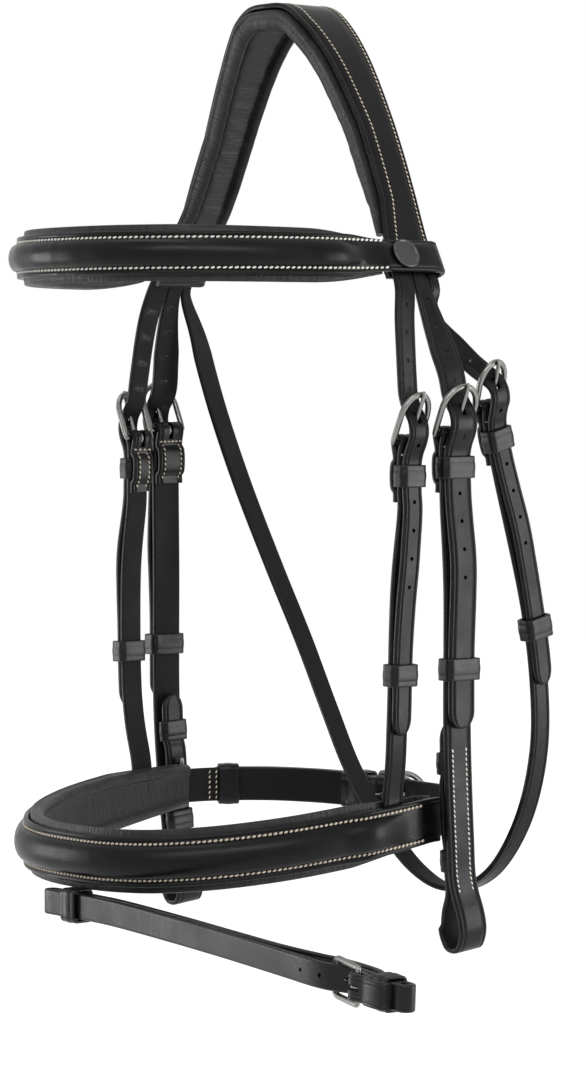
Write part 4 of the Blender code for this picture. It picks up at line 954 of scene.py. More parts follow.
def pad(name, laid, outlines, material, crumple):
    """A padded lining: soft rolled edges and a sunken middle crossed by creases."""
    sections = []
    for outline, walk in zip(outlines, laid.walk):
        wide = np.abs(outline[:, 0]).max()
        deep = outline[:, 1].max() - outline[:, 1].min()
        rows = []
        for across, out in outline:
            under = min(1.0, max(0.0, (outline[:, 1].max() - out) / deep - PAD_BACK_SHARE) * PAD_BACK_RISE)
            middle = max(0.0, 1 - (abs(across) / (PAD_MIDDLE_SHARE * wide)) ** 4)
            fold = noise.noise(Vector((walk * FOLD_SCALES[0], across * FOLD_SCALES[1], crumple)))
            wave = noise.noise(Vector((walk * WAVE_SCALES[0], across * WAVE_SCALES[1], crumple + WAVE_AWAY)))
            lift = fold * (FOLD_SHARES[0] + FOLD_SHARES[1] * middle)
            lift += wave * (WAVE_SHARES[0] + WAVE_SHARES[1] * middle)
            rows.append((across, out + sizes().wrinkle_depth * under * lift, 1.0 - middle))
        sections.append(rows)
    return skin(name, laid, sections, material)


def crown_place(column, side):
    """Middle of one of the billets where the crown strap ends under the browband's loop."""
    leg = leg_route()
    x = abs(leg.centre(leg.find(2, -CROWN_CUT))[0])
    return np.array((side * x, between(*head_edges(x), column_share(column)), -CROWN_CUT))


def hanging_route(column, above, hinge, lean, below, side, facings=None, straight_from=0):
    """A route from under the browband's loop, past the split and straight through its buckle, and on."""
    bar = place(hinge, side)
    slope = unit(place(lean, side))
    straight = [bar + slope * BUCKLE_LENGTH * share for share in STRAIGHT_SHARES[straight_from:]]
    split = split_place(column, side)
    places = [crown_place(column, side), split] + [place(p, side) for p in above] + straight + below
    facing = [np.array((side, 0.0, 0.0))] * (len(places) - len(below))
    facing += [np.array((side * f[0], f[1], f[2])) for f in facings or [(1, 0, 0)] * len(below)]
    route = Route(places, facing, 16)
    return route, route.find(2, bar[2]), route.find(2, split[2])


def hang_sides(side):
    """Routes and billet lines of one side's noseband strap and cheekpiece."""
    nose_below = [place(p, side) for p in NOSE_BELOW_SHARES]
    nose_below += [np.array((side * RING_HALF, y * FAN, -z * HANG)) for y, z in NOSE_END_SHARES]
    nose, nose_bar, nose_split = hanging_route(0, NOSE_ABOVE_SHARES, NOSE_HINGE_SHARES, NOSE_LEAN_SHARES,
                                               nose_below, side)
    cheek_below = [place(p, side) for p in CHEEK_BELOW_SHARES]
    cheek, cheek_bar, cheek_split = hanging_route(1, CHEEK_ABOVE_SHARES, CHEEK_HINGE_SHARES,
                                                  CHEEK_LEAN_SHARES, cheek_below, side)
    nose_tip = nose.find(2, -NOSE_TIP_DROP)
    cheek_tip = cheek.find(2, -CHEEK_TIP_DROP)
    nose_line = billet_line(0.0, nose_bar, nose_tip, BOW, STEEP_SHAPE)
    cheek_line = billet_line(0.0, cheek_bar, cheek_tip, BOW, STEEP_SHAPE)
    return {"nose": (nose, nose_bar, nose_tip, nose_line, nose_split),
            "cheek": (cheek, cheek_bar, cheek_tip, cheek_line, cheek_split)}


def hang_throat():
    """Route, buckle bar, tip, billet line and both splits of the throatlatch."""
    below = [place(p) for p in THROAT_BELOW_SHARES] + [split_place(2, OFF), crown_place(2, OFF)]
    facings = THROAT_FACING_SHARES + THROAT_FACING_SHARES[-1:]
    route, bar, split = hanging_route(2, THROAT_ABOVE_SHARES, THROAT_HINGE_SHARES, THROAT_LEAN_SHARES, below,
                                      NEAR, facings, 1)
    tip = bar + THROAT_TAIL
    off_split = route.reach[-1 - 16]
    return route, bar, tip, billet_line(0.0, bar, tip, BOW, STEEP_SHAPE), split, off_split


def brow_route():
    """The browband's route with both end loops, and the near loop's front middle."""
    places, facings = brow_loop()
    front = [plan_point(p, BROW_HALF, BROW_FRONT, 0.0, -places[-1][2]) for p in BROW_SHARES]
    bend = smooth(places[-2:] + front, FINE_TURNS)[FINE_TURNS + 1:]
    level = [np.array((p[0], p[1] + BROW_MIDDLE * BROW_FRONT, 0.0)) for p in bend]
    turning = np.minimum(np.arange(1, len(level) + 1) / (4 * FINE_TURNS), 1.0)
    turned_in = [facings[-1] * (1 - share) + unit(flat) * share
                 for share, flat in zip(turning, level)]
    stud_place = places[-BROW_STUD_ROW]
    places += bend
    facings += turned_in
    route = Route(places + [mirrored(p) for p in reversed(places[:-1])],
                  facings + [mirrored(f) for f in reversed(facings[:-1])], 1)
    middle = int(np.argmin([np.linalg.norm(p - stud_place) for p in route.points]))
    return route, route.reach[middle]


def bands():
    """The noseband's route, where it has left the rear straps, and where its roll starts."""
    route = band_route(BAND_SHARES, [], [(-x, y) for x, y in reversed(BAND_SHARES[:-1])])
    tuck = route.find(1, -RING_FRONT * BAND_LIFT_SHARE)
    return route, tuck, route.find(1, -BAND_ROLL_START)


def rear_route():
    bar = plan_point((REAR_BAR_SHARE, 1.0), RING_HALF, RING_FRONT, RING_REAR, RING_DROP)
    straight = [bar - np.array((BUCKLE_LENGTH * share, 0.0, 0.0)) for share in STRAIGHT_SHARES]
    route = band_route(REAR_NEAR_SHARES, straight, REAR_OFF_SHARES)
    return route, route.find(0, bar[0])


def flash_route():
    half = FLASH_WIDTH / 2 + FLASH_LOOP_SLACK + KEEPER_LEATHER / 2
    level = -(RING_DROP + RING_SLOPE * RING_FRONT + BAND_PAD_HEIGHT / 2 + GAP + half + KEEPER_LEATHER / 2)
    front = -(RING_FRONT + LEATHER)
    places = [np.array((x * FLASH_REACH, front - y * FLASH_FORWARD, level - z * FLASH_DROP))
              for x, y, z in FLASH_SHARES]
    return Route(places, [np.array((0.0, 1.0, 0.0))] * len(places), 16), half


def group(name, inputs, outputs):
    """A shader node group with named sockets, made once."""
    tree = bpy.data.node_groups.new(name, "ShaderNodeTree")
    for label, kind, value in inputs:
        socket = tree.interface.new_socket(name=label, in_out="INPUT", socket_type=kind)
        if value is not None:
            socket.default_value = value
    for label, kind in outputs:
        tree.interface.new_socket(name=label, in_out="OUTPUT", socket_type=kind)
    return tree, tree.nodes.new("NodeGroupInput"), tree.nodes.new("NodeGroupOutput")


def add(tree, kind, links=(), **settings):
    """Add a node; links are (input name or number, source socket or value)."""
    node = tree.nodes.new(kind)
    for key, value in settings.items():
        setattr(node, key, value)
    for key, value in links:
        if isinstance(value, bpy.types.NodeSocket):
            tree.links.new(value, node.inputs[key])
        else:
            node.inputs[key].default_value = value
    return node


def grain_group():
    """Fine leather grain: a height, and a cloudy mask for colour and gloss."""
    if "leather grain" in bpy.data.node_groups:
        return bpy.data.node_groups["leather grain"]
    tree, given, result = group("leather grain", [("Pore Scale", "NodeSocketFloat", 2600.0),
                                                  ("Pebble", "NodeSocketFloat", 0.4)],
                                [("Height", "NodeSocketFloat"), ("Cloud", "NodeSocketFloat")])
    place_in = add(tree, "ShaderNodeTexCoord")
    pores = add(tree, "ShaderNodeTexVoronoi", [("Vector", place_in.outputs["Object"]),
                                               ("Scale", given.outputs["Pore Scale"])], feature="F1")
    fine = add(tree, "ShaderNodeTexNoise", [("Vector", place_in.outputs["Object"]),
                                            ("Scale", given.outputs["Pore Scale"]), ("Detail", 3.0)])
    mixed = add(tree, "ShaderNodeMath", [(0, pores.outputs["Distance"]), (1, given.outputs["Pebble"])],
                operation="MULTIPLY")
    total = add(tree, "ShaderNodeMath", [(0, mixed.outputs[0]), (1, fine.outputs[0])], operation="ADD")
    cloud = add(tree, "ShaderNodeTexNoise", [("Vector", place_in.outputs["Object"]), ("Scale", 55.0),
                                             ("Detail", 5.0), ("Roughness", 0.6)])
    tree.links.new(total.outputs[0], result.inputs["Height"])
    tree.links.new(cloud.outputs[0], result.inputs["Cloud"])
    return tree


def wear_group():
    """Rubbed edges: a mask from the piece's edge marks, broken up unevenly."""
    if "rubbed edges" in bpy.data.node_groups:
        return bpy.data.node_groups["rubbed edges"]
    tree, given, result = group("rubbed edges", [("Amount", "NodeSocketFloat", 0.6)],
                                [("Mask", "NodeSocketFloat")])
    marks = add(tree, "ShaderNodeAttribute", attribute_name="edge")
    place_in = add(tree, "ShaderNodeTexCoord")
    patchy = add(tree, "ShaderNodeTexNoise", [("Vector", place_in.outputs["Object"]), ("Scale", 160.0),
                                              ("Detail", 4.0)])
    ragged = add(tree, "ShaderNodeMapRange", [("Value", patchy.outputs[0]), ("From Min", 0.35),
                                              ("From Max", 0.7)])
    worn = add(tree, "ShaderNodeMath", [(0, marks.outputs["Fac"]), (1, ragged.outputs[0])],
               operation="MULTIPLY")
    scaled = add(tree, "ShaderNodeMath", [(0, worn.outputs[0]), (1, given.outputs["Amount"])],
                 operation="MULTIPLY")
    tree.links.new(scaled.outputs[0], result.inputs["Mask"])
    return tree


def crease_group():
    """Creases of bent leather, drawn across the cut length: a height."""
    if "cross creases" in bpy.data.node_groups:
        return bpy.data.node_groups["cross creases"]
    tree, given, result = group("cross creases", [("Along", "NodeSocketFloat", 500.0),
                                                  ("Across", "NodeSocketFloat", 60.0)],
                                [("Height", "NodeSocketFloat")])
    chart = add(tree, "ShaderNodeUVMap", uv_map="cut")
    parts = add(tree, "ShaderNodeSeparateXYZ", [(0, chart.outputs[0])])
    along = add(tree, "ShaderNodeMath", [(0, parts.outputs[0]), (1, given.outputs["Along"])],
                operation="MULTIPLY")
    across = add(tree, "ShaderNodeMath", [(0, parts.outputs[1]), (1, given.outputs["Across"])],
                 operation="MULTIPLY")
    joined = add(tree, "ShaderNodeCombineXYZ", [(0, along.outputs[0]), (1, across.outputs[0])])
    waves = add(tree, "ShaderNodeTexNoise", [("Vector", joined.outputs[0]), ("Scale", 1.0), ("Detail", 4.0),
                                             ("Distortion", 0.4)])
    tree.links.new(waves.outputs[0], result.inputs["Height"])
    return tree


def put(tree, make):
    node = tree.nodes.new("ShaderNodeGroup")
    node.node_tree = make()
    return node


def surface(name, colour, worn, rough, sheen=0.0, metallic=0.0, specular=0.5, pore=2600.0,
            pebble=0.4, bump=0.2, creases=0.0, along=500.0, across=60.0, wear=0.6, cloud=0.35, dull=0.0):
    """A material with grain, rubbed edges, uneven colour and gloss, duller on the flesh side, made once."""
    if name in bpy.data.materials:
        return bpy.data.materials[name]
    material = bpy.data.materials.new(name)
    material.use_nodes = True
    tree = material.node_tree
    shader = tree.nodes["Principled BSDF"]
    shader.inputs["Metallic"].default_value = metallic
    shader.inputs["Specular IOR Level"].default_value = specular
    shader.inputs["Sheen Weight"].default_value = sheen
    grain = put(tree, grain_group)
    grain.inputs["Pore Scale"].default_value = pore
    grain.inputs["Pebble"].default_value = pebble
    rubbed = put(tree, wear_group)
    rubbed.inputs["Amount"].default_value = wear
    shade = add(tree, "ShaderNodeMapRange", [("Value", grain.outputs["Cloud"]), ("From Min", 0.3),
                                             ("From Max", 0.7), ("To Min", 1 - cloud), ("To Max", 1 + cloud)])
    base = add(tree, "ShaderNodeMix", [(0, 1.0)], data_type="RGBA", blend_type="MULTIPLY")
    base.inputs[6].default_value = (*colour, 1.0)
    tree.links.new(shade.outputs[0], base.inputs[7])
    final = add(tree, "ShaderNodeMix", data_type="RGBA")
    tree.links.new(rubbed.outputs["Mask"], final.inputs[0])
    tree.links.new(base.outputs[2], final.inputs[6])
    final.inputs[7].default_value = (*worn, 1.0)
    tree.links.new(final.outputs[2], shader.inputs["Base Color"])
    gloss = add(tree, "ShaderNodeMapRange", [("Value", grain.outputs["Cloud"]), ("From Min", 0.3),
                                             ("From Max", 0.7), ("To Min", rough - 0.06),
                                             ("To Max", rough + 0.08)])
    tree.links.new(gloss.outputs[0], shader.inputs["Roughness"])
    if dull:
        inner = add(tree, "ShaderNodeAttribute", attribute_name="flesh")
        both = add(tree, "ShaderNodeMath", [(0, inner.outputs["Fac"]), (1, dull), (2, gloss.outputs[0])],
                   operation="MULTIPLY_ADD")
        tree.links.new(both.outputs[0], shader.inputs["Roughness"])
    relief = add(tree, "ShaderNodeBump", [("Strength", bump), ("Distance", 0.0003),
                                          ("Height", grain.outputs["Height"])])
    if creases:
        folds = put(tree, crease_group)
        folds.inputs["Along"].default_value = along
        folds.inputs["Across"].default_value = across
        bent = add(tree, "ShaderNodeBump", [("Strength", creases), ("Distance", FOLD_RELIEF),
                                            ("Height", folds.outputs["Height"])])
        tree.links.new(bent.outputs[0], relief.inputs["Normal"])
    tree.links.new(relief.outputs[0], shader.inputs["Normal"])
    return material


def colours():
    return bpy.context.scene.bridle_colours


def leather():
    return surface("bridle_leather", colours().leather, (0.022, 0.021, 0.02), 0.3, specular=0.14, pebble=0.5,
                   bump=0.12, creases=0.06, along=240.0, across=40.0, wear=0.4, dull=0.32)


def flash_leather():
    return surface("flash_leather", colours().leather, (0.022, 0.021, 0.02), 0.3, specular=0.22, pebble=0.5,
                   bump=0.12, creases=0.06, along=240.0, across=40.0, wear=0.4)


def keeper_leather():
    return surface("keeper_leather", colours().leather, (0.024, 0.023, 0.022), 0.3, specular=0.2, pebble=0.3,
                   bump=0.08, wear=0.45)


def lining():
    return surface("lining_leather", colours().lining, (0.05, 0.052, 0.055), 0.4, specular=0.2, pore=1700.0,
                   pebble=1.0, bump=0.12, creases=0.5, along=620.0, across=75.0, wear=0.3, cloud=0.2)


def steel():
    return surface("satin_steel", colours().steel, (0.3, 0.295, 0.285), 0.3, metallic=1.0, pore=900.0,
                   pebble=0.1, bump=0.03, wear=0.0, cloud=0.08)


def medallion_steel():
    return surface("blackened_steel", colours().medallion, (0.3, 0.3, 0.3), 0.34, metallic=1.0, pore=900.0,
                   pebble=0.1, bump=0.03, wear=0.0, cloud=0.1)


def thread(name, colour):
    return surface(name, colour, colour, 0.75, specular=0.3, sheen=0.15, pore=1500.0, pebble=0.8, bump=0.5,
                   wear=0.0, cloud=0.12)


def stitch_tree():
    """Stitches spaced along rows of points: slanted beads that lie on the leather."""
    if "stitch rows" in bpy.data.node_groups:
        return bpy.data.node_groups["stitch rows"]
    tree = bpy.data.node_groups.new("stitch rows", "GeometryNodeTree")
    tree.is_modifier = True
    tree.interface.new_socket(name="Rows", in_out="INPUT", socket_type="NodeSocketGeometry")
    for label, kind in (("Pitch", "NodeSocketFloat"), ("Length", "NodeSocketFloat"),
                        ("Width", "NodeSocketFloat"), ("Height", "NodeSocketFloat"),
                        ("Slant", "NodeSocketFloat"), ("Thread", "NodeSocketMaterial")):
        tree.interface.new_socket(name=label, in_out="INPUT", socket_type=kind)
    tree.interface.new_socket(name="Stitches", in_out="OUTPUT", socket_type="NodeSocketGeometry")
    given, result = tree.nodes.new("NodeGroupInput"), tree.nodes.new("NodeGroupOutput")
    path = add(tree, "GeometryNodeMeshToCurve", [("Mesh", given.outputs["Rows"])])
    spaced_out = add(tree, "GeometryNodeResampleCurve", [("Curve", path.outputs["Curve"])], mode="LENGTH")
    tree.links.new(given.outputs["Pitch"], spaced_out.inputs["Length"])
    bead = add(tree, "GeometryNodeMeshUVSphere", [("Segments", 8), ("Rings", 5), ("Radius", 0.5)])
    size = add(tree, "ShaderNodeCombineXYZ", [(0, given.outputs["Length"]), (1, given.outputs["Width"]),
                                              (2, given.outputs["Height"])])
    formed = add(tree, "GeometryNodeTransform", [("Geometry", bead.outputs["Mesh"]),
                                                 ("Scale", size.outputs[0])])
    angle = add(tree, "ShaderNodeCombineXYZ", [(2, given.outputs["Slant"])])
    slanted = add(tree, "GeometryNodeTransform", [("Geometry", formed.outputs[0]),
                                                  ("Rotation", angle.outputs[0])])
    tangent = add(tree, "GeometryNodeInputTangent")
    up = add(tree, "GeometryNodeInputNamedAttribute", [("Name", "up")], data_type="FLOAT_VECTOR")
    turn = add(tree, "FunctionNodeAxesToRotation", primary_axis="Z", secondary_axis="X")
    tree.links.new(up.outputs["Attribute"], turn.inputs[0])
    tree.links.new(tangent.outputs[0], turn.inputs[1])
    uneven = add(tree, "FunctionNodeRandomValue", [("Min", (0.9, 0.9, 0.9)), ("Max", (1.06, 1.06, 1.06)),
                                                   ("Seed", 4)], data_type="FLOAT_VECTOR")
    placed = add(tree, "GeometryNodeInstanceOnPoints", [("Points", spaced_out.outputs[0]),
                                                        ("Instance", slanted.outputs[0]),
                                                        ("Rotation", turn.outputs[0]),
                                                        ("Scale", uneven.outputs[0])])
    real = add(tree, "GeometryNodeRealizeInstances", [("Geometry", placed.outputs[0])])
    painted = add(tree, "GeometryNodeSetMaterial", [("Geometry", real.outputs[0]),
                                                    ("Material", given.outputs["Thread"])])
    tree.links.new(painted.outputs[0], result.inputs[0])
    return tree


def sew(name, rows, body, pitch, length, width, slant, material):
    """Lay stitches along rows of points and keep them as a plain mesh."""
    points, ups, edges = [], [], []
    for places, outward in rows:
        first = len(points)
        points += [tuple(p) for p in places]
        ups += list(outward)
        edges += [(first + k, first + k + 1) for k in range(len(places) - 1)]
    mesh = bpy.data.meshes.new(name)
    mesh.from_pydata(points, edges, [])
    mesh.attributes.new("up", "FLOAT_VECTOR", "POINT").data.foreach_set("vector", np.array(ups).ravel())
    item = bpy.data.objects.new(name, mesh)
    bpy.context.scene.collection.objects.link(item)
    tree = stitch_tree()
    sewn = item.modifiers.new("stitches", "NODES")
    sewn.node_group = tree
    values = {"Pitch": pitch, "Length": length, "Width": width, "Height": width * 0.62,
              "Slant": slant, "Thread": material}
    for socket in tree.interface.items_tree:
        if socket.in_out == "INPUT" and socket.name in values:
            sewn[socket.identifier] = values[socket.name]
    made = bpy.data.meshes.new_from_object(item.evaluated_get(bpy.context.evaluated_depsgraph_get()))
    item.modifiers.remove(sewn)
    if not made.polygons:
        raise RuntimeError("no stitches were made for " + name)
    made.name = name
    made.polygons.foreach_set("use_smooth", [True] * len(made.polygons))
    item.data = made
    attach(item, body)
    return item


def billet(name, route, line, tip, bar, split, width, start_width, above):
    """One billet with its holes and its tongue slot."""
    def half(s):
        return flared(width - SPLIT_GAP, start_width - SPLIT_GAP, max(0.0, s - split)) / 2

    item, _ = plain_strap(name, route, line, half, leather(), tip, bar)
    holes = [(m, PUNCH_RADIUS, HOLE_DEPTH) for m in hole_matrices(route, bar, line, tip, above)]
    carve(item, holes, [tongue_cut(route, bar, BUCKLE_TILT)])
    return dress(item, BODY, "leather", "headpiece_leather")


class BRIDLE_OT_headpiece(bpy.types.Operator):
    """Crown strap over the poll and the five billets that hang from it"""
    bl_idname = "bridle.headpiece"
    bl_label = "Headpiece"

    def execute(self, context):
        leg = leg_route()
        first = leg.find(2, -CROWN_CUT)
        laid = lay(leg, [(s, 0.0) for s in spaced(first, leg.length - first, FINE_STEP)])
        sections, edges = [], []
        for s in laid.reach:
            front, rear = head_edges(leg.centre(s)[0])
            section = strap_section((rear - front) / 2, LEATHER)
            section[:, 0] -= (front + rear) / 2
            sections.append(section)
            edges.append((-front, -rear))
        crown = skin("crown_strap", laid, sections, leather())
        dress(crown, BODY, "leather", "headpiece_leather")
        height = LEATHER / 2 + SEAM_SINK
        start, end = CROWN_SEAM_START, laid.walk[-1] - CROWN_SEAM_START
        seam("fine", laid, start, end, lambda s, k: edges[k][0] - CROWN_FRONT_SEAM, height)
        seam("fine", laid, start, end, lambda s, k: edges[k][1] + CROWN_REAR_SEAM, height)
        for word, side in SIDES:
            for kind, width, column in (("nose", NOSE_WIDTH, 0), ("cheek", CHEEK_WIDTH, 1)):
                route, bar, tip, line, split = hang_sides(side)[kind]
                billet(word + "_" + kind + "_billet", route, line, tip, bar, split, width,
                       SPLIT_WIDTHS[column], 4)
        route, bar, tip, line, split, _ = hang_throat()
        billet("throat_billet", route, line, tip, bar, split, THROAT_WIDTH, SPLIT_WIDTHS[2], 2)
        return {"FINISHED"}


class BRIDLE_OT_headpiece_pad(bpy.types.Operator):
    """Padded lining under the crown strap"""
    bl_idname = "bridle.headpiece_pad"
    bl_label = "Headpiece padding"

    def execute(self, context):
        leg = leg_route()
        low, middle = leg.find(2, -PAD_END_DROP), leg.length / 2
        top = -LEATHER / 2 - SEAM
        laid = lay(leg, [(s, 0.0) for s in spaced(low, leg.length - low, PAD_STEP)])
        outlines = []
        for s in laid.reach:
            share = 0.38 + 0.62 * eased(min(s - low, leg.length - low - s), PAD_TAPER)
            front, rear = head_edges(leg.centre(s)[0])
            flat = leg.centre(s)[2] / leg.axes(s)[2][2] + top
            away = min(1.0, max(0.0, (abs(s - middle) - SEAT_HALF) / SEAT_EASE))
            centre = between(flat, PAD_CENTRE, away)
            width = rear - front + 2 * PAD_OVERHANG
            outline = pad_outline(width, top, PAD_EDGE, centre, share, CROWN_PAD_SHARES)
            outline[:, 0] -= (front + rear) / 2
            outlines.append(outline)
        item = pad("headpiece_pad", laid, outlines, lining(), CROWN_CRUMPLE)
        dress(item, BODY, "lining", "headpiece_lining")
        return {"FINISHED"}


class BRIDLE_OT_browband(bpy.types.Operator):
    """Browband leather with its raised roll and the end loops round the headpiece"""
    bl_idname = "bridle.browband"
    bl_label = "Browband"

    def execute(self, context):
        route, _ = brow_route()
        start = pad_start(route, -BROW_PAD_START)
        laid = lay(route, [(s, 0.0) for s in route.reach])
        roll_half = BROW_ROLL_WIDTH / 2 + LEATHER * 0.4
        sections = []
        for s in laid.reach:
            end = min(s, route.length - s)
            wide = swell(end, start, route.length, BROW_TAPER)
            rise = swell(end, start + BROW_ROLL_LATE, route.length, BROW_TAPER)
            height = between(BROW_END_HEIGHT, BROW_HEIGHT, wide)
            roll = roll_half * (0.5 + 0.5 * rise)
            sections.append(strap_section(height / 2, LEATHER, BROW_ROLL * rise, roll))
        dress(skin("browband", laid, sections, leather()), BODY, "leather", "browband_leather")
        for side in (-1, 1):
            seam("bold", laid, start, route.length - start, side * (roll_half + ROLL_SEAM),
                 LEATHER / 2 + SEAM_SINK)
        return {"FINISHED"}


class BRIDLE_OT_browband_pad(bpy.types.Operator):
    """Padded lining behind the browband"""
    bl_idname = "bridle.browband_pad"
    bl_label = "Browband padding"

    def execute(self, context):
        route, _ = brow_route()
        start = pad_start(route, -BROW_PAD_START) + 0.001
        laid = lay(route, [(s, 0.0) for s in spaced(start, route.length - start, FINE_STEP)])
        outlines = []
        for s in laid.reach:
            end = min(s - start, route.length - start - s)
            rise = eased(end, PAD_TAPER)
            height = between(BROW_END_HEIGHT, BROW_PAD_SHOWN, rise)
            outlines.append(pad_outline(height, -LEATHER / 2 - SEAM, BROW_PAD_EDGE, BROW_PAD_CENTRE,
                                        0.4 + 0.6 * rise))
        item = pad("browband_pad", laid, outlines, lining(), BROW_CRUMPLE)
        dress(item, BODY, "lining", "browband_lining")
        return {"FINISHED"}


class BRIDLE_OT_medallions(bpy.types.Operator):
    """The two round bare medallions on the browband"""
    bl_idname = "bridle.medallions"
    bl_label = "Medallions"

    def execute(self, context):
        route, middle = brow_route()
        inner = STUD_RADIUS - STUD_RIM_WIDTH
        face = STUD_HEIGHT - STUD_RIM
        ease, dip = STUD_EASE, STUD_EASE / 3
        profile = [(0.0, 0.0), (STUD_RADIUS - ease, 0.0), (STUD_RADIUS, ease), (STUD_RADIUS, face),
                   (STUD_RADIUS - ease, STUD_HEIGHT - dip), (STUD_RADIUS - ease * 2, STUD_HEIGHT),
                   (inner + ease, STUD_HEIGHT), (inner, STUD_HEIGHT - dip), (inner - ease, face),
                   (inner * 0.6, face - dip), (0.0, face - dip * 2)]
        for (word, _), s in zip(SIDES, (middle, route.length - middle)):
            item = turned(word + "_medallion", profile, MEDALLION_STEPS, route.matrix(s, LEATHER / 2 + GAP),
                          medallion_steel())
            dress(item, BODY, "steel", word + "_browband_stud")
        return {"FINISHED"}


class BRIDLE_OT_cheekpieces(bpy.types.Operator):
    """Cheekpieces with their buckle eyes and the bit loops that hook on a stud"""
    bl_idname = "bridle.cheekpieces"
    bl_label = "Cheekpieces"

    def execute(self, context):
        for word, side in SIDES:
            route, bar, hang_tip = hang_sides(side)["cheek"][:3]
            bottom, lower = route.find(2, -LOOP_BOTTOM), route.find(2, -LOWER_KEEPER_DROP)
            upper, stud = route.find(2, -UPPER_KEEPER_DROP), route.find(2, -STUD_DROP)
            tip = route.find(2, -HOOK_TIP_DROP)
            loop, tail = bit_loop_line(bottom, lower, upper, stud, tip)
            top = chape_line(bar, [(s, MAIN_OUT) for s in
                                   spaced(bar + CHAPE_LENGTH, loop[0][0], ROW_STEP)[:-1]], CHAPE_LENGTH)
            line = fine_line(top + loop + tail)
            laid = lay(route, line)
            start = next(k for k, s in enumerate(laid.reach) if s > bottom - LOOP_NEAR) + LOOP_TURN_ROWS
            sections = []
            for k, s in enumerate(laid.reach):
                inside = k > start
                narrow = min(1.0, max(0.0, (bottom - s) / HOOK_NARROWING)) if inside else 0.0
                wide, thin = tip_shape(s - tip) if inside else (1.0, 1.0)
                half = between(CHEEK_WIDTH, HOOK_WIDTH, narrow) / 2 * wide
                sections.append(strap_section(half, LEATHER, thin=thin))
            item = skin(word + "_cheek_strap", laid, sections, leather())
            hook = (2 * STUD_WIRE + 2 * SLACK, 4 * STUD_WIRE + SLACK, 3 * LEATHER)
            hooked = route.matrix(stud, INNER_OUT - BOW / 2 - LEATHER / 4)
            carve(item, (), [eye_cut(route, bar), (hooked, hook)])
            dress(item, BODY, "leather", word + "_cheekpiece")
            buckle_seams(route, laid, bar, CHEEK_WIDTH)
            from_s, to_s = hang_tip + CHEEK_SEAM_START, bottom - CHEEK_SEAM_END
            first = next(k for k, s in enumerate(laid.reach) if k > CHAPE_ROWS and s > from_s)
            last = next(k for k, s in enumerate(laid.reach) if k > first and s > to_s)
            for side_of in (-1, 1):
                seam("strap", laid, laid.walk[first], laid.walk[last], side_of * CHEEK_SEAM,
                     LEATHER / 2 + SEAM_SINK)
        return {"FINISHED"}


class BRIDLE_OT_noseband_straps(bpy.types.Operator):
    """Straps that carry the noseband on each side"""
    bl_idname = "bridle.noseband_straps"
    bl_label = "Noseband straps"

    def execute(self, context):
        for word, side in SIDES:
            route, bar = hang_sides(side)["nose"][:2]
            end, low = route.find(2, -NOSE_STRAP_END), route.find(2, -RING_DROP + BAND_PAD_HEIGHT)
            down = [(s, MAIN_OUT) for s in spaced(bar + CHAPE_LENGTH, low, ROW_STEP)]
            line = chape_line(bar, down + [((down[-1][0] + end) / 2, 0.0), (end, 0.0)], CHAPE_LENGTH)
            item, laid = plain_strap(word + "_nose_strap", route, line, lambda s: NOSE_WIDTH / 2, leather())
            carve(item, (), [eye_cut(route, bar)])
            dress(item, BODY, "leather", word + "_noseband_strap")
            buckle_seams(route, laid, bar, NOSE_WIDTH)
        return {"FINISHED"}


class BRIDLE_OT_throatlatch(bpy.types.Operator):
    """Throatlatch from its near buckle under the throat to the off side"""
    bl_idname = "bridle.throatlatch"
    bl_label = "Throatlatch"

    def execute(self, context):
        route, bar, _, _, _, off_split = hang_throat()
        down = [(s, MAIN_OUT) for s in spaced(bar + CHAPE_LENGTH, off_split - ROW_STEP * 2, ROW_STEP)]
        line = chape_line(bar, down + [(off_split, 0.0), (route.length - 0.001, 0.0)], CHAPE_LENGTH)
        wide, narrow = THROAT_WIDTH - SPLIT_GAP, SPLIT_WIDTHS[2] - SPLIT_GAP
        item, laid = plain_strap("throat_strap", route, line,
                                 lambda s: flared(wide, narrow, max(0.0, off_split - s)) / 2, leather())
        carve(item, (), [eye_cut(route, bar)])
        dress(item, BODY, "leather", "throatlatch")
        buckle_seams(route, laid, bar, THROAT_WIDTH)
        return {"FINISHED"}


class BRIDLE_OT_noseband(bpy.types.Operator):
    """Noseband leather with its raised roll"""
    bl_idname = "bridle.noseband"
    bl_label = "Noseband"

    def execute(self, context):
        route, tuck, start = bands()
        laid = lay(route, [(s, 0.0) for s in spaced(0.0, route.length, FINE_STEP)])
        roll_half = BAND_ROLL_WIDTH / 2 + LEATHER * 0.4
        sections, lifts = [], []
        for s in laid.reach:
            end = min(s, route.length - s)
            lift = 1 - swell(end, tuck - ROW_STEP / 2, route.length, ROW_STEP)
            rise = swell(s, start, route.length - start, ROW_STEP * 1.5)
            height = between(BAND_END_HEIGHT, BAND_SHOWN, min(1.0, end / tuck))
            roll = roll_half * (0.85 + 0.15 * rise)
            section = strap_section(height / 2, LEATHER, BAND_ROLL * rise, roll)
            section[:, 1] += lift * (LEATHER + SEAM)
            lifts.append(lift * (LEATHER + SEAM) + LEATHER / 2 + SEAM_SINK)
            sections.append(section)
        dress(skin("noseband", laid, sections, leather()), BODY, "leather", "noseband_leather")
        first = laid.walk[laid.reach.searchsorted(route.find(1, -BAND_SEAM_START))]
        for side in (-1, 1):
            seam("bead", laid, first, laid.walk[-1] - first, side * (roll_half + ROLL_SEAM),
                 lifts.__getitem__)
        return {"FINISHED"}


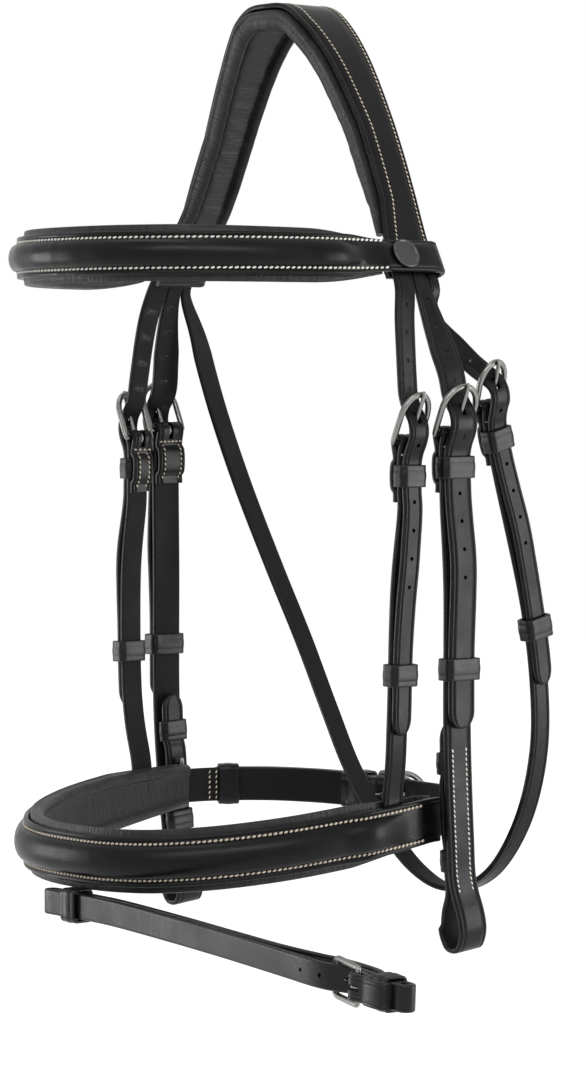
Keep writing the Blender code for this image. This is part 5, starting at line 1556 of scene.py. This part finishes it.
class BRIDLE_OT_noseband_pad(bpy.types.Operator):
    """Padded lining inside the noseband"""
    bl_idname = "bridle.noseband_pad"
    bl_label = "Noseband padding"

    def execute(self, context):
        route, tuck, _ = bands()
        laid = lay(route, [(s, 0.0) for s in spaced(0.0, route.length, FINE_STEP)])
        outlines = []
        for s in laid.reach:
            end = min(s, route.length - s)
            share = 0.5 + 0.5 * eased(end, ROW_STEP)
            height = between(BAND_END_HEIGHT, BAND_PAD_HEIGHT, min(1.0, end / tuck))
            outlines.append(pad_outline(height, -LEATHER / 2 - SEAM, BAND_PAD_EDGE, BAND_PAD_CENTRE, share))
        item = pad("noseband_pad", laid, outlines, lining(), BAND_CRUMPLE)
        dress(item, BODY, "lining", "noseband_lining")
        return {"FINISHED"}


class BRIDLE_OT_rear_straps(bpy.types.Operator):
    """The two straps that buckle behind the jaw"""
    bl_idname = "bridle.rear_straps"
    bl_label = "Rear straps"

    def execute(self, context):
        route, hinge = rear_route()
        start = route.find(1, -REAR_TUCK)
        tip = hinge + REAR_TAIL
        line = billet_line(start, hinge, tip, 0.0, STEEP_SHAPE, REAR_STEP)
        item, _ = plain_strap("rear_billet", route, line, lambda s: REAR_WIDTH / 2, leather(), tip, hinge)
        holes = [(m, PUNCH_RADIUS, HOLE_DEPTH) for m in hole_matrices(route, hinge, line, tip, 2)]
        carve(item, holes, [tongue_cut(route, hinge, BUCKLE_TILT)])
        dress(item, BODY, "leather", "noseband_rear_billet")
        end = route.length - start
        shared = [s for s, _ in line if s > hinge + CHAPE_LENGTH]
        down = [(s, MAIN_OUT) for s in shared]
        down += [(s, 0.0) for s in spaced(end - BAND_TUCK, end, REAR_STEP)]
        line = chape_line(hinge, down, CHAPE_LENGTH)
        item, _ = plain_strap("rear_strap", route, line, lambda s: REAR_WIDTH / 2, leather())
        carve(item, (), [eye_cut(route, hinge)])
        dress(item, BODY, "leather", "noseband_rear_strap")
        for past in REAR_SEAMS:
            cross_seam(route, hinge + REAR_KEEPER_PLACE + KEEPER_WIDTH / 2 + past, REAR_WIDTH,
                       MAIN_OUT - LEATHER / 2 - SEAM_SINK, "fine")
        return {"FINISHED"}


class BRIDLE_OT_flash_strap(bpy.types.Operator):
    """Flash strap, doubled through its loop and buckled at its free end"""
    bl_idname = "bridle.flash_strap"
    bl_label = "Flash strap"

    def execute(self, context):
        route, half = flash_route()
        middle = route.find(0, FLASH_LOOP_PLACE * FLASH_REACH)
        fold = route.find(0, -FLASH_FOLD)
        right = route.find(0, FLASH_REACH)
        hinge = right - FLASH_END
        back = LEATHER + FLASH_LAYER_GAP
        outer = BILLET_OUT + LEATHER + GAP
        turn = (outer - MAIN_OUT) / 2
        line = [(right - turn, MAIN_OUT)]
        for angle in FLASH_TURN_ANGLES:
            line.append((right - turn + turn * math.cos(math.radians(angle)),
                         MAIN_OUT + turn + turn * math.sin(math.radians(angle))))
        keeper_end = hinge + FIXED_KEEPER_PLACE - KEEPER_WIDTH / 2 - SLACK
        line += [(right - turn, outer), (keeper_end, outer)]
        line += [(hinge + along * BUCKLE_LENGTH, out * FLASH_BACK_OUT) for along, out in FLASH_BACK_SHARES]
        line += [(s, back) for s in spaced(hinge - BUCKLE_LENGTH * 4, fold + back / 2, ROW_STEP * 2)]
        for angle in FLASH_FOLD_ANGLES:
            line.append((fold + back / 2 + back / 2 * math.cos(math.radians(angle)),
                         back / 2 + back / 2 * math.sin(math.radians(angle))))
        front = billet_line(fold + back / 2, hinge, hinge + FLASH_TAIL, 0.0, FLASH_SHAPE)
        front = [p for p in front if p[0] < hinge + FIXED_KEEPER_PLACE] + [(hinge + FLASH_TAIL, BILLET_OUT)]
        item, _ = plain_strap("flash_leather", route, chape_line(hinge, line, FLASH_CHAPE) + front,
                              lambda s: FLASH_WIDTH / 2, flash_leather())
        used = hinge - BUCKLE_LENGTH * CROSSING_SHARE
        holes = [(route.matrix(used - HOLE_PITCH * k), PUNCH_RADIUS, LEATHER * 1.5) for k in (1, 2)]
        carve(item, holes, [tongue_cut(route, hinge, FLASH_TILT), eye_cut(route, hinge)])
        dress(item, "flash", "leather", "flash_strap")
        low = -LEATHER / 2 - FLASH_LOOP_SLACK - KEEPER_LEATHER / 2
        high = back + LEATHER / 2 + FLASH_LOOP_SLACK + KEEPER_LEATHER / 2
        loop = keeper("flash_hanger", half, low, high, route.matrix(middle), keeper_leather())
        dress(loop, BODY, "leather", "flash_loop")
        return {"FINISHED"}


def buckle_stations():
    """Every buckle: name, route, bar distance, width, tilt, outer height, shoulder share, keeper's body."""
    plain = (BUCKLE_TILT, BILLET_OUT, SHOULDER_SHARE, BODY)
    found = []
    for word, side in SIDES:
        routes = hang_sides(side)
        found.append((word + "_noseband", *routes["nose"][:2], NOSE_WIDTH, *plain))
        found.append((word + "_cheek", *routes["cheek"][:2], CHEEK_WIDTH, *plain))
    found.append(("throat", *hang_throat()[:2], THROAT_WIDTH, *plain))
    found.append(("noseband_rear", *rear_route(), REAR_WIDTH, *plain))
    route = flash_route()[0]
    hinge = route.find(0, FLASH_REACH) - FLASH_END
    outer = BILLET_OUT + LEATHER + GAP
    found.append(("flash", route, hinge, FLASH_WIDTH, FLASH_TILT, outer, FLASH_SHOULDER_SHARE, "flash"))
    return found


def frame_outline(half, length, shoulder_share):
    """A buckle frame's outline: straight bar with rounded corners, legs and arched top."""
    leg = half + SIDE_ROOM + WIRE_RADIUS
    shoulder = length * (1 - shoulder_share)
    bend = WIRE_RADIUS * 0.8
    points = [(x, 0.0, 0.0) for x in np.linspace(bend - leg, leg - bend, BAR_STEPS)]
    points += [(leg - bend + bend * math.sin(a), -bend + bend * math.cos(a), 0.0)
               for a in np.linspace(BEND_START, math.pi / 2, BEND_STEPS)]
    points += [(leg, y, 0.0) for y in np.linspace(-bend * 2, -shoulder, LEG_STEPS)[:-1]]
    points += [(leg * math.cos(a), -shoulder - (length - shoulder) * math.sin(a), 0.0)
               for a in np.linspace(0.0, math.pi, FRAME_ARCH_STEPS)]
    points += [(-leg, y, 0.0) for y in np.linspace(-shoulder, -bend * 2, LEG_STEPS)[1:]]
    points += [(-leg + bend - bend * math.sin(a), -bend + bend * math.cos(a), 0.0)
               for a in np.linspace(math.pi / 2, BEND_START, BEND_STEPS)]
    return points


class BRIDLE_OT_buckles(bpy.types.Operator):
    """Satin steel buckle frames and their tongues"""
    bl_idname = "bridle.buckles"
    bl_label = "Buckles"

    def execute(self, context):
        for name, route, hinge, width, tilt, _, shoulder_share, _ in buckle_stations():
            tilted = route.matrix(hinge) @ Matrix.Rotation(-tilt, 4, "X")
            outline = frame_outline(width / 2, BUCKLE_LENGTH, shoulder_share)
            radii = [between(WIRE_RADIUS, FRAME_WIRE, min(1.0, -y / FRAME_SWELL)) for _, y, _ in outline]
            item = rod(name + "_frame_wire", outline, radii, (0, 0, 1), tilted, steel(), closed=True)
            dress(item, name + "_frame", "steel", name + "_buckle_frame")
            bent = smooth(tongue_points(BUCKLE_LENGTH), TONGUE_STEPS)
            narrow = np.interp(np.arange(len(bent)) / (len(bent) - 1), *zip(*TONGUE_TAPER_SHARES))
            wire = TONGUE_RADIUS if name == "flash" else TONGUE_WIRE
            item = rod(name + "_tongue_wire", bent, narrow * wire, (1, 0, 0), tilted, steel())
            dress(item, name + "_tongue", "steel", name + "_buckle_tongue")
        return {"FINISHED"}


class BRIDLE_OT_keepers(bpy.types.Operator):
    """Fixed keepers, sliding runners and the keepers of the bit loops"""
    bl_idname = "bridle.keepers"
    bl_label = "Keepers"

    def execute(self, context):
        for name, route, hinge, width, _, outer, _, body in buckle_stations():
            low = MAIN_OUT - LEATHER / 2 - GAP - KEEPER_LEATHER / 2
            high = outer + LEATHER / 2 + GAP + KEEPER_LEATHER / 2
            half = width / 2 + SLACK + KEEPER_LEATHER / 2
            item = keeper(name + "_upper_loop", half, low, high, route.matrix(hinge + FIXED_KEEPER_PLACE),
                          keeper_leather())
            dress(item, body, "leather", name + "_fixed_keeper")
        low = MAIN_OUT - LEATHER / 2 - RUNNER_SLACK - KEEPER_LEATHER / 2
        high = BILLET_OUT + LEATHER / 2 + RUNNER_SLACK + KEEPER_LEATHER / 2
        sliding = [("throat", *hang_throat()[::2][:2], THROAT_WIDTH)]
        for word, side in SIDES:
            routes = hang_sides(side)
            sliding.append((word + "_noseband", *routes["nose"][:3:2], NOSE_WIDTH))
            sliding.append((word + "_cheek", *routes["cheek"][:3:2], CHEEK_WIDTH))
        for name, route, tip, width in sliding:
            half = width / 2 + RUNNER_SLACK + KEEPER_LEATHER / 2
            item = keeper(name + "_sliding_loop", half, low, high, route.matrix(tip - RUNNER_FROM_TIP),
                          keeper_leather())
            dress(item, name + "_keeper_body", "leather", name + "_runner")
        route, hinge = rear_route()
        item = keeper("rear_lower_loop", REAR_WIDTH / 2 + SLACK + KEEPER_LEATHER / 2, low, high,
                      route.matrix(hinge + REAR_KEEPER_PLACE), keeper_leather())
        dress(item, BODY, "leather", "noseband_rear_lower_keeper")
        for word, side in SIDES:
            route = hang_sides(side)["cheek"][0]
            half = HOOK_WIDTH / 2 + SLACK + KEEPER_LEATHER / 2
            low = INNER_OUT - LEATHER / 2 - GAP - KEEPER_LEATHER / 2
            high = INNER_OUT + LEATHER / 2 + GAP + KEEPER_LEATHER / 2
            for label, drop in (("lower", LOWER_KEEPER_DROP), ("upper", UPPER_KEEPER_DROP)):
                item = keeper(word + "_bit_loop_" + label, half, low, high,
                              route.matrix(route.find(2, -drop)), keeper_leather())
                dress(item, BODY, "leather", word + "_hook_" + label + "_keeper")
        return {"FINISHED"}


class BRIDLE_OT_hook_studs(bpy.types.Operator):
    """Hook studs that hold the bit loops closed"""
    bl_idname = "bridle.hook_studs"
    bl_label = "Hook studs"

    def execute(self, context):
        for word, side in SIDES:
            route = hang_sides(side)["cheek"][0]
            matrix = route.matrix(route.find(2, -STUD_DROP))
            seat = MAIN_OUT - LEATHER / 2 - GAP
            outside = INNER_OUT - BOW / 2 - LEATHER / 2 - STUD_WIRE * 2
            bend = [(0.0, 0.0, seat), (0.0, 0.0, seat - STUD_PLATE * 0.5), (0.0, 0.0, seat - STUD_PLATE),
                    (0.0, 0.0, seat - STUD_PLATE - GAP), (0.0, 0.0, outside + STUD_WIRE * 0.4),
                    (0.0, -STUD_WIRE * 0.3, outside - STUD_WIRE * 0.4),
                    (0.0, -STUD_WIRE * 1.1, outside - STUD_WIRE * 0.95),
                    (0.0, -STUD_WIRE * 2, outside - STUD_WIRE), (0.0, -STUD_HOOK, outside - STUD_WIRE)]
            base = STUD_BASE_RADIUS
            radii = [base * 0.92, base, base * 0.9] + [STUD_WIRE] * 6
            item = rod(word + "_stud_hook", bend, radii, (1, 0, 0), matrix, steel())
            dress(item, BODY, "steel", word + "_hook_stud")
        return {"FINISHED"}


class BRIDLE_OT_stitching(bpy.types.Operator):
    """Every row of stitches, laid by geometry nodes"""
    bl_idname = "bridle.stitching"
    bl_label = "Stitching"

    def execute(self, context):
        if not seams:
            raise RuntimeError("make the straps before the stitching")
        shades = colours()
        white = thread("white_thread", shades.thread_white)
        beige = thread("beige_thread", shades.thread_beige)
        size = sizes()
        slant = size.stitch_slant
        kinds = {"bold": ("browband_stitches", size.bold_pitch, 0.84, 0.0013, slant, white),
                 "bead": ("noseband_stitches", size.bead_pitch, 0.84, 0.0014, slant, beige),
                 "fine": ("crown_stitches", size.fine_pitch, 0.8, 0.0009, slant, beige),
                 "strap": ("strap_stitches", size.fine_pitch, 0.8, 0.0009, slant, white),
                 "bar": ("bar_stitches", size.fine_pitch, 0.8, 0.0011, 0.0, beige)}
        for kind, (name, pitch, cover, width, turn, material) in kinds.items():
            sew(name, seams[kind], BODY, pitch, pitch * cover, width, turn, material)
        return {"FINISHED"}


class BRIDLE_OT_stage(bpy.types.Operator):
    """Pale floor, soft lights, white surroundings and the camera"""
    bl_idname = "bridle.stage"
    bl_label = "Stage"

    def execute(self, context):
        mesh = bpy.data.meshes.new("floor")
        corners = [(x * FLOOR_HALF, y * FLOOR_HALF, 0) for x, y in ((-1, -1), (1, -1), (1, 1), (-1, 1))]
        mesh.from_pydata(corners, [], [(0, 1, 2, 3)])
        mesh.transform(Matrix.Translation((0, 0, FLOOR_HEIGHT)))
        floor = bpy.data.objects.new("floor", mesh)
        context.scene.collection.objects.link(floor)
        mesh.materials.append(floor_material())
        light_world(context.scene)
        for name, place_at, aim, size, power in LAMPS:
            lamp = bpy.data.lights.new(name, "AREA")
            lamp.shape = "RECTANGLE"
            lamp.size, lamp.size_y = size
            lamp.energy = power
            item = bpy.data.objects.new(name, lamp)
            item.location = place_at
            item.rotation_mode = "QUATERNION"
            item.rotation_quaternion = (Vector(aim) - Vector(place_at)).to_track_quat("-Z", "Y")
            context.scene.collection.objects.link(item)
        camera = bpy.data.objects.new("camera", bpy.data.cameras.new("camera"))
        camera.data.lens = CAMERA_LENS
        camera.data.sensor_width = CAMERA_SENSOR
        a, e = math.radians(CAMERA_AZIMUTH), math.radians(CAMERA_RISE)
        back = Vector((math.sin(a) * math.cos(e), -math.cos(a) * math.cos(e), math.sin(e)))
        camera.location = Vector(CAMERA_TARGET) + back * CAMERA_DISTANCE
        camera.rotation_mode = "QUATERNION"
        camera.rotation_quaternion = (-back).to_track_quat("-Z", "Y")
        context.scene.collection.objects.link(camera)
        context.scene.camera = camera
        context.scene.view_settings.view_transform = "Standard"
        return {"FINISHED"}


def seen_white(tree, plain, white):
    """Join a plain shader and a white one that camera, glossy and transmission rays see."""
    path = add(tree, "ShaderNodeLightPath")
    some = add(tree, "ShaderNodeMath", [(0, path.outputs["Is Camera Ray"]),
                                        (1, path.outputs["Is Glossy Ray"])], operation="MAXIMUM")
    every = add(tree, "ShaderNodeMath", [(0, some.outputs[0]), (1, path.outputs["Is Transmission Ray"])],
                operation="MAXIMUM")
    return add(tree, "ShaderNodeMixShader", [(0, every.outputs[0]), (1, plain), (2, white)])


def floor_material():
    material = bpy.data.materials.new("pale_floor")
    material.use_nodes = True
    tree = material.node_tree
    shader = tree.nodes["Principled BSDF"]
    shader.inputs["Base Color"].default_value = (0.8, 0.8, 0.8, 1.0)
    shader.inputs["Roughness"].default_value = 0.9
    glow = add(tree, "ShaderNodeEmission", [("Strength", FLOOR_GLOW)])
    lit = add(tree, "ShaderNodeAddShader", [(0, shader.outputs[0]), (1, glow.outputs[0])])
    mixed = seen_white(tree, shader.outputs[0], lit.outputs[0])
    tree.links.new(mixed.outputs[0], tree.nodes["Material Output"].inputs["Surface"])
    return material


def light_world(scene):
    world = bpy.data.worlds.new("studio")
    world.use_nodes = True
    scene.world = world
    tree = world.node_tree
    soft = tree.nodes["Background"]
    soft.inputs["Color"].default_value = (1.0, 1.0, 1.0, 1.0)
    soft.inputs["Strength"].default_value = WORLD_STRENGTH
    white = add(tree, "ShaderNodeBackground", [("Color", (1.0, 1.0, 1.0, 1.0)), ("Strength", 1.0)])
    mixed = seen_white(tree, soft.outputs[0], white.outputs[0])
    tree.links.new(mixed.outputs[0], tree.nodes["World Output"].inputs["Surface"])


def length_property(name, description, default):
    return bpy.props.FloatProperty(name=name, description=description, default=default, min=0.0,
                                   unit="LENGTH", precision=5)


def colour_property(name, description, default):
    return bpy.props.FloatVectorProperty(name=name, description=description, default=default,
                                         min=0.0, max=1.0,
                                         subtype="COLOR")


class BridleSizes(bpy.types.PropertyGroup):
    """Sizes of the leather's finish and of the stitches"""
    edge_radius: length_property("Edge radius", "How far the straps' edges are eased", 0.0010)
    crease_inset: length_property("Crease inset", "Distance of the crease line from the edge", 0.0022)
    crease_depth: length_property("Crease depth", "Depth of the crease line", 0.00028)
    wrinkle_depth: length_property("Wrinkle depth", "Height of the padding's creases", 0.0007)
    bold_pitch: length_property("Browband stitch", "Stitch spacing of the browband", 0.0030)
    bead_pitch: length_property("Noseband stitch", "Stitch spacing of the noseband", 0.0028)
    fine_pitch: length_property("Strap stitch", "Stitch spacing of the crown and the straps", 0.0026)
    stitch_slant: bpy.props.FloatProperty(name="Slant", description="Slant of each stitch",
                                          default=math.radians(18), subtype="ANGLE")


class BridleColours(bpy.types.PropertyGroup):
    """Colours of the bridle's finishes"""
    leather: colour_property("Leather", "Bridle leather", (0.0035, 0.0034, 0.0037))
    lining: colour_property("Lining", "Padded lining leather", (0.014, 0.0143, 0.015))
    thread_white: colour_property("White thread", "Thread of the browband and straps", (0.76, 0.73, 0.67))
    thread_beige: colour_property("Beige thread", "Thread of the noseband and crown", (0.58, 0.51, 0.40))
    steel: colour_property("Steel", "Buckles, tongues and hook studs", (0.19, 0.187, 0.18))
    medallion: colour_property("Medallion", "Blackened steel of the medallions", (0.07, 0.07, 0.072))


OPERATORS = (BRIDLE_OT_headpiece, BRIDLE_OT_headpiece_pad, BRIDLE_OT_browband, BRIDLE_OT_browband_pad,
             BRIDLE_OT_medallions, BRIDLE_OT_cheekpieces, BRIDLE_OT_noseband_straps, BRIDLE_OT_throatlatch,
             BRIDLE_OT_noseband, BRIDLE_OT_noseband_pad, BRIDLE_OT_rear_straps, BRIDLE_OT_flash_strap,
             BRIDLE_OT_buckles, BRIDLE_OT_keepers, BRIDLE_OT_hook_studs, BRIDLE_OT_stitching, BRIDLE_OT_stage)


class BRIDLE_PT_panel(bpy.types.Panel):
    """The bridle's pieces, sizes and colours"""
    bl_idname = "BRIDLE_PT_panel"
    bl_label = "Bridle"
    bl_space_type = "VIEW_3D"
    bl_region_type = "UI"
    bl_category = "Bridle"

    def draw(self, context):
        layout = self.layout
        for item in (context.scene.bridle_sizes, context.scene.bridle_colours):
            box = layout.box()
            for name in item.__annotations__:
                box.prop(item, name)
        for operator in OPERATORS:
            layout.operator(operator.bl_idname)


CLASSES = (BridleSizes, BridleColours) + OPERATORS + (BRIDLE_PT_panel,)


def register():
    for item in CLASSES:
        bpy.utils.register_class(item)
    bpy.types.Scene.bridle_sizes = bpy.props.PointerProperty(type=BridleSizes)
    bpy.types.Scene.bridle_colours = bpy.props.PointerProperty(type=BridleColours)


def unregister():
    del bpy.types.Scene.bridle_colours
    del bpy.types.Scene.bridle_sizes
    for item in reversed(CLASSES):
        bpy.utils.unregister_class(item)


def main():
    """Make every piece in order."""
    register()
    for operator in OPERATORS:
        family, name = operator.bl_idname.split(".")
        getattr(getattr(bpy.ops, family), name)()


if __name__ == "__main__":
    main()
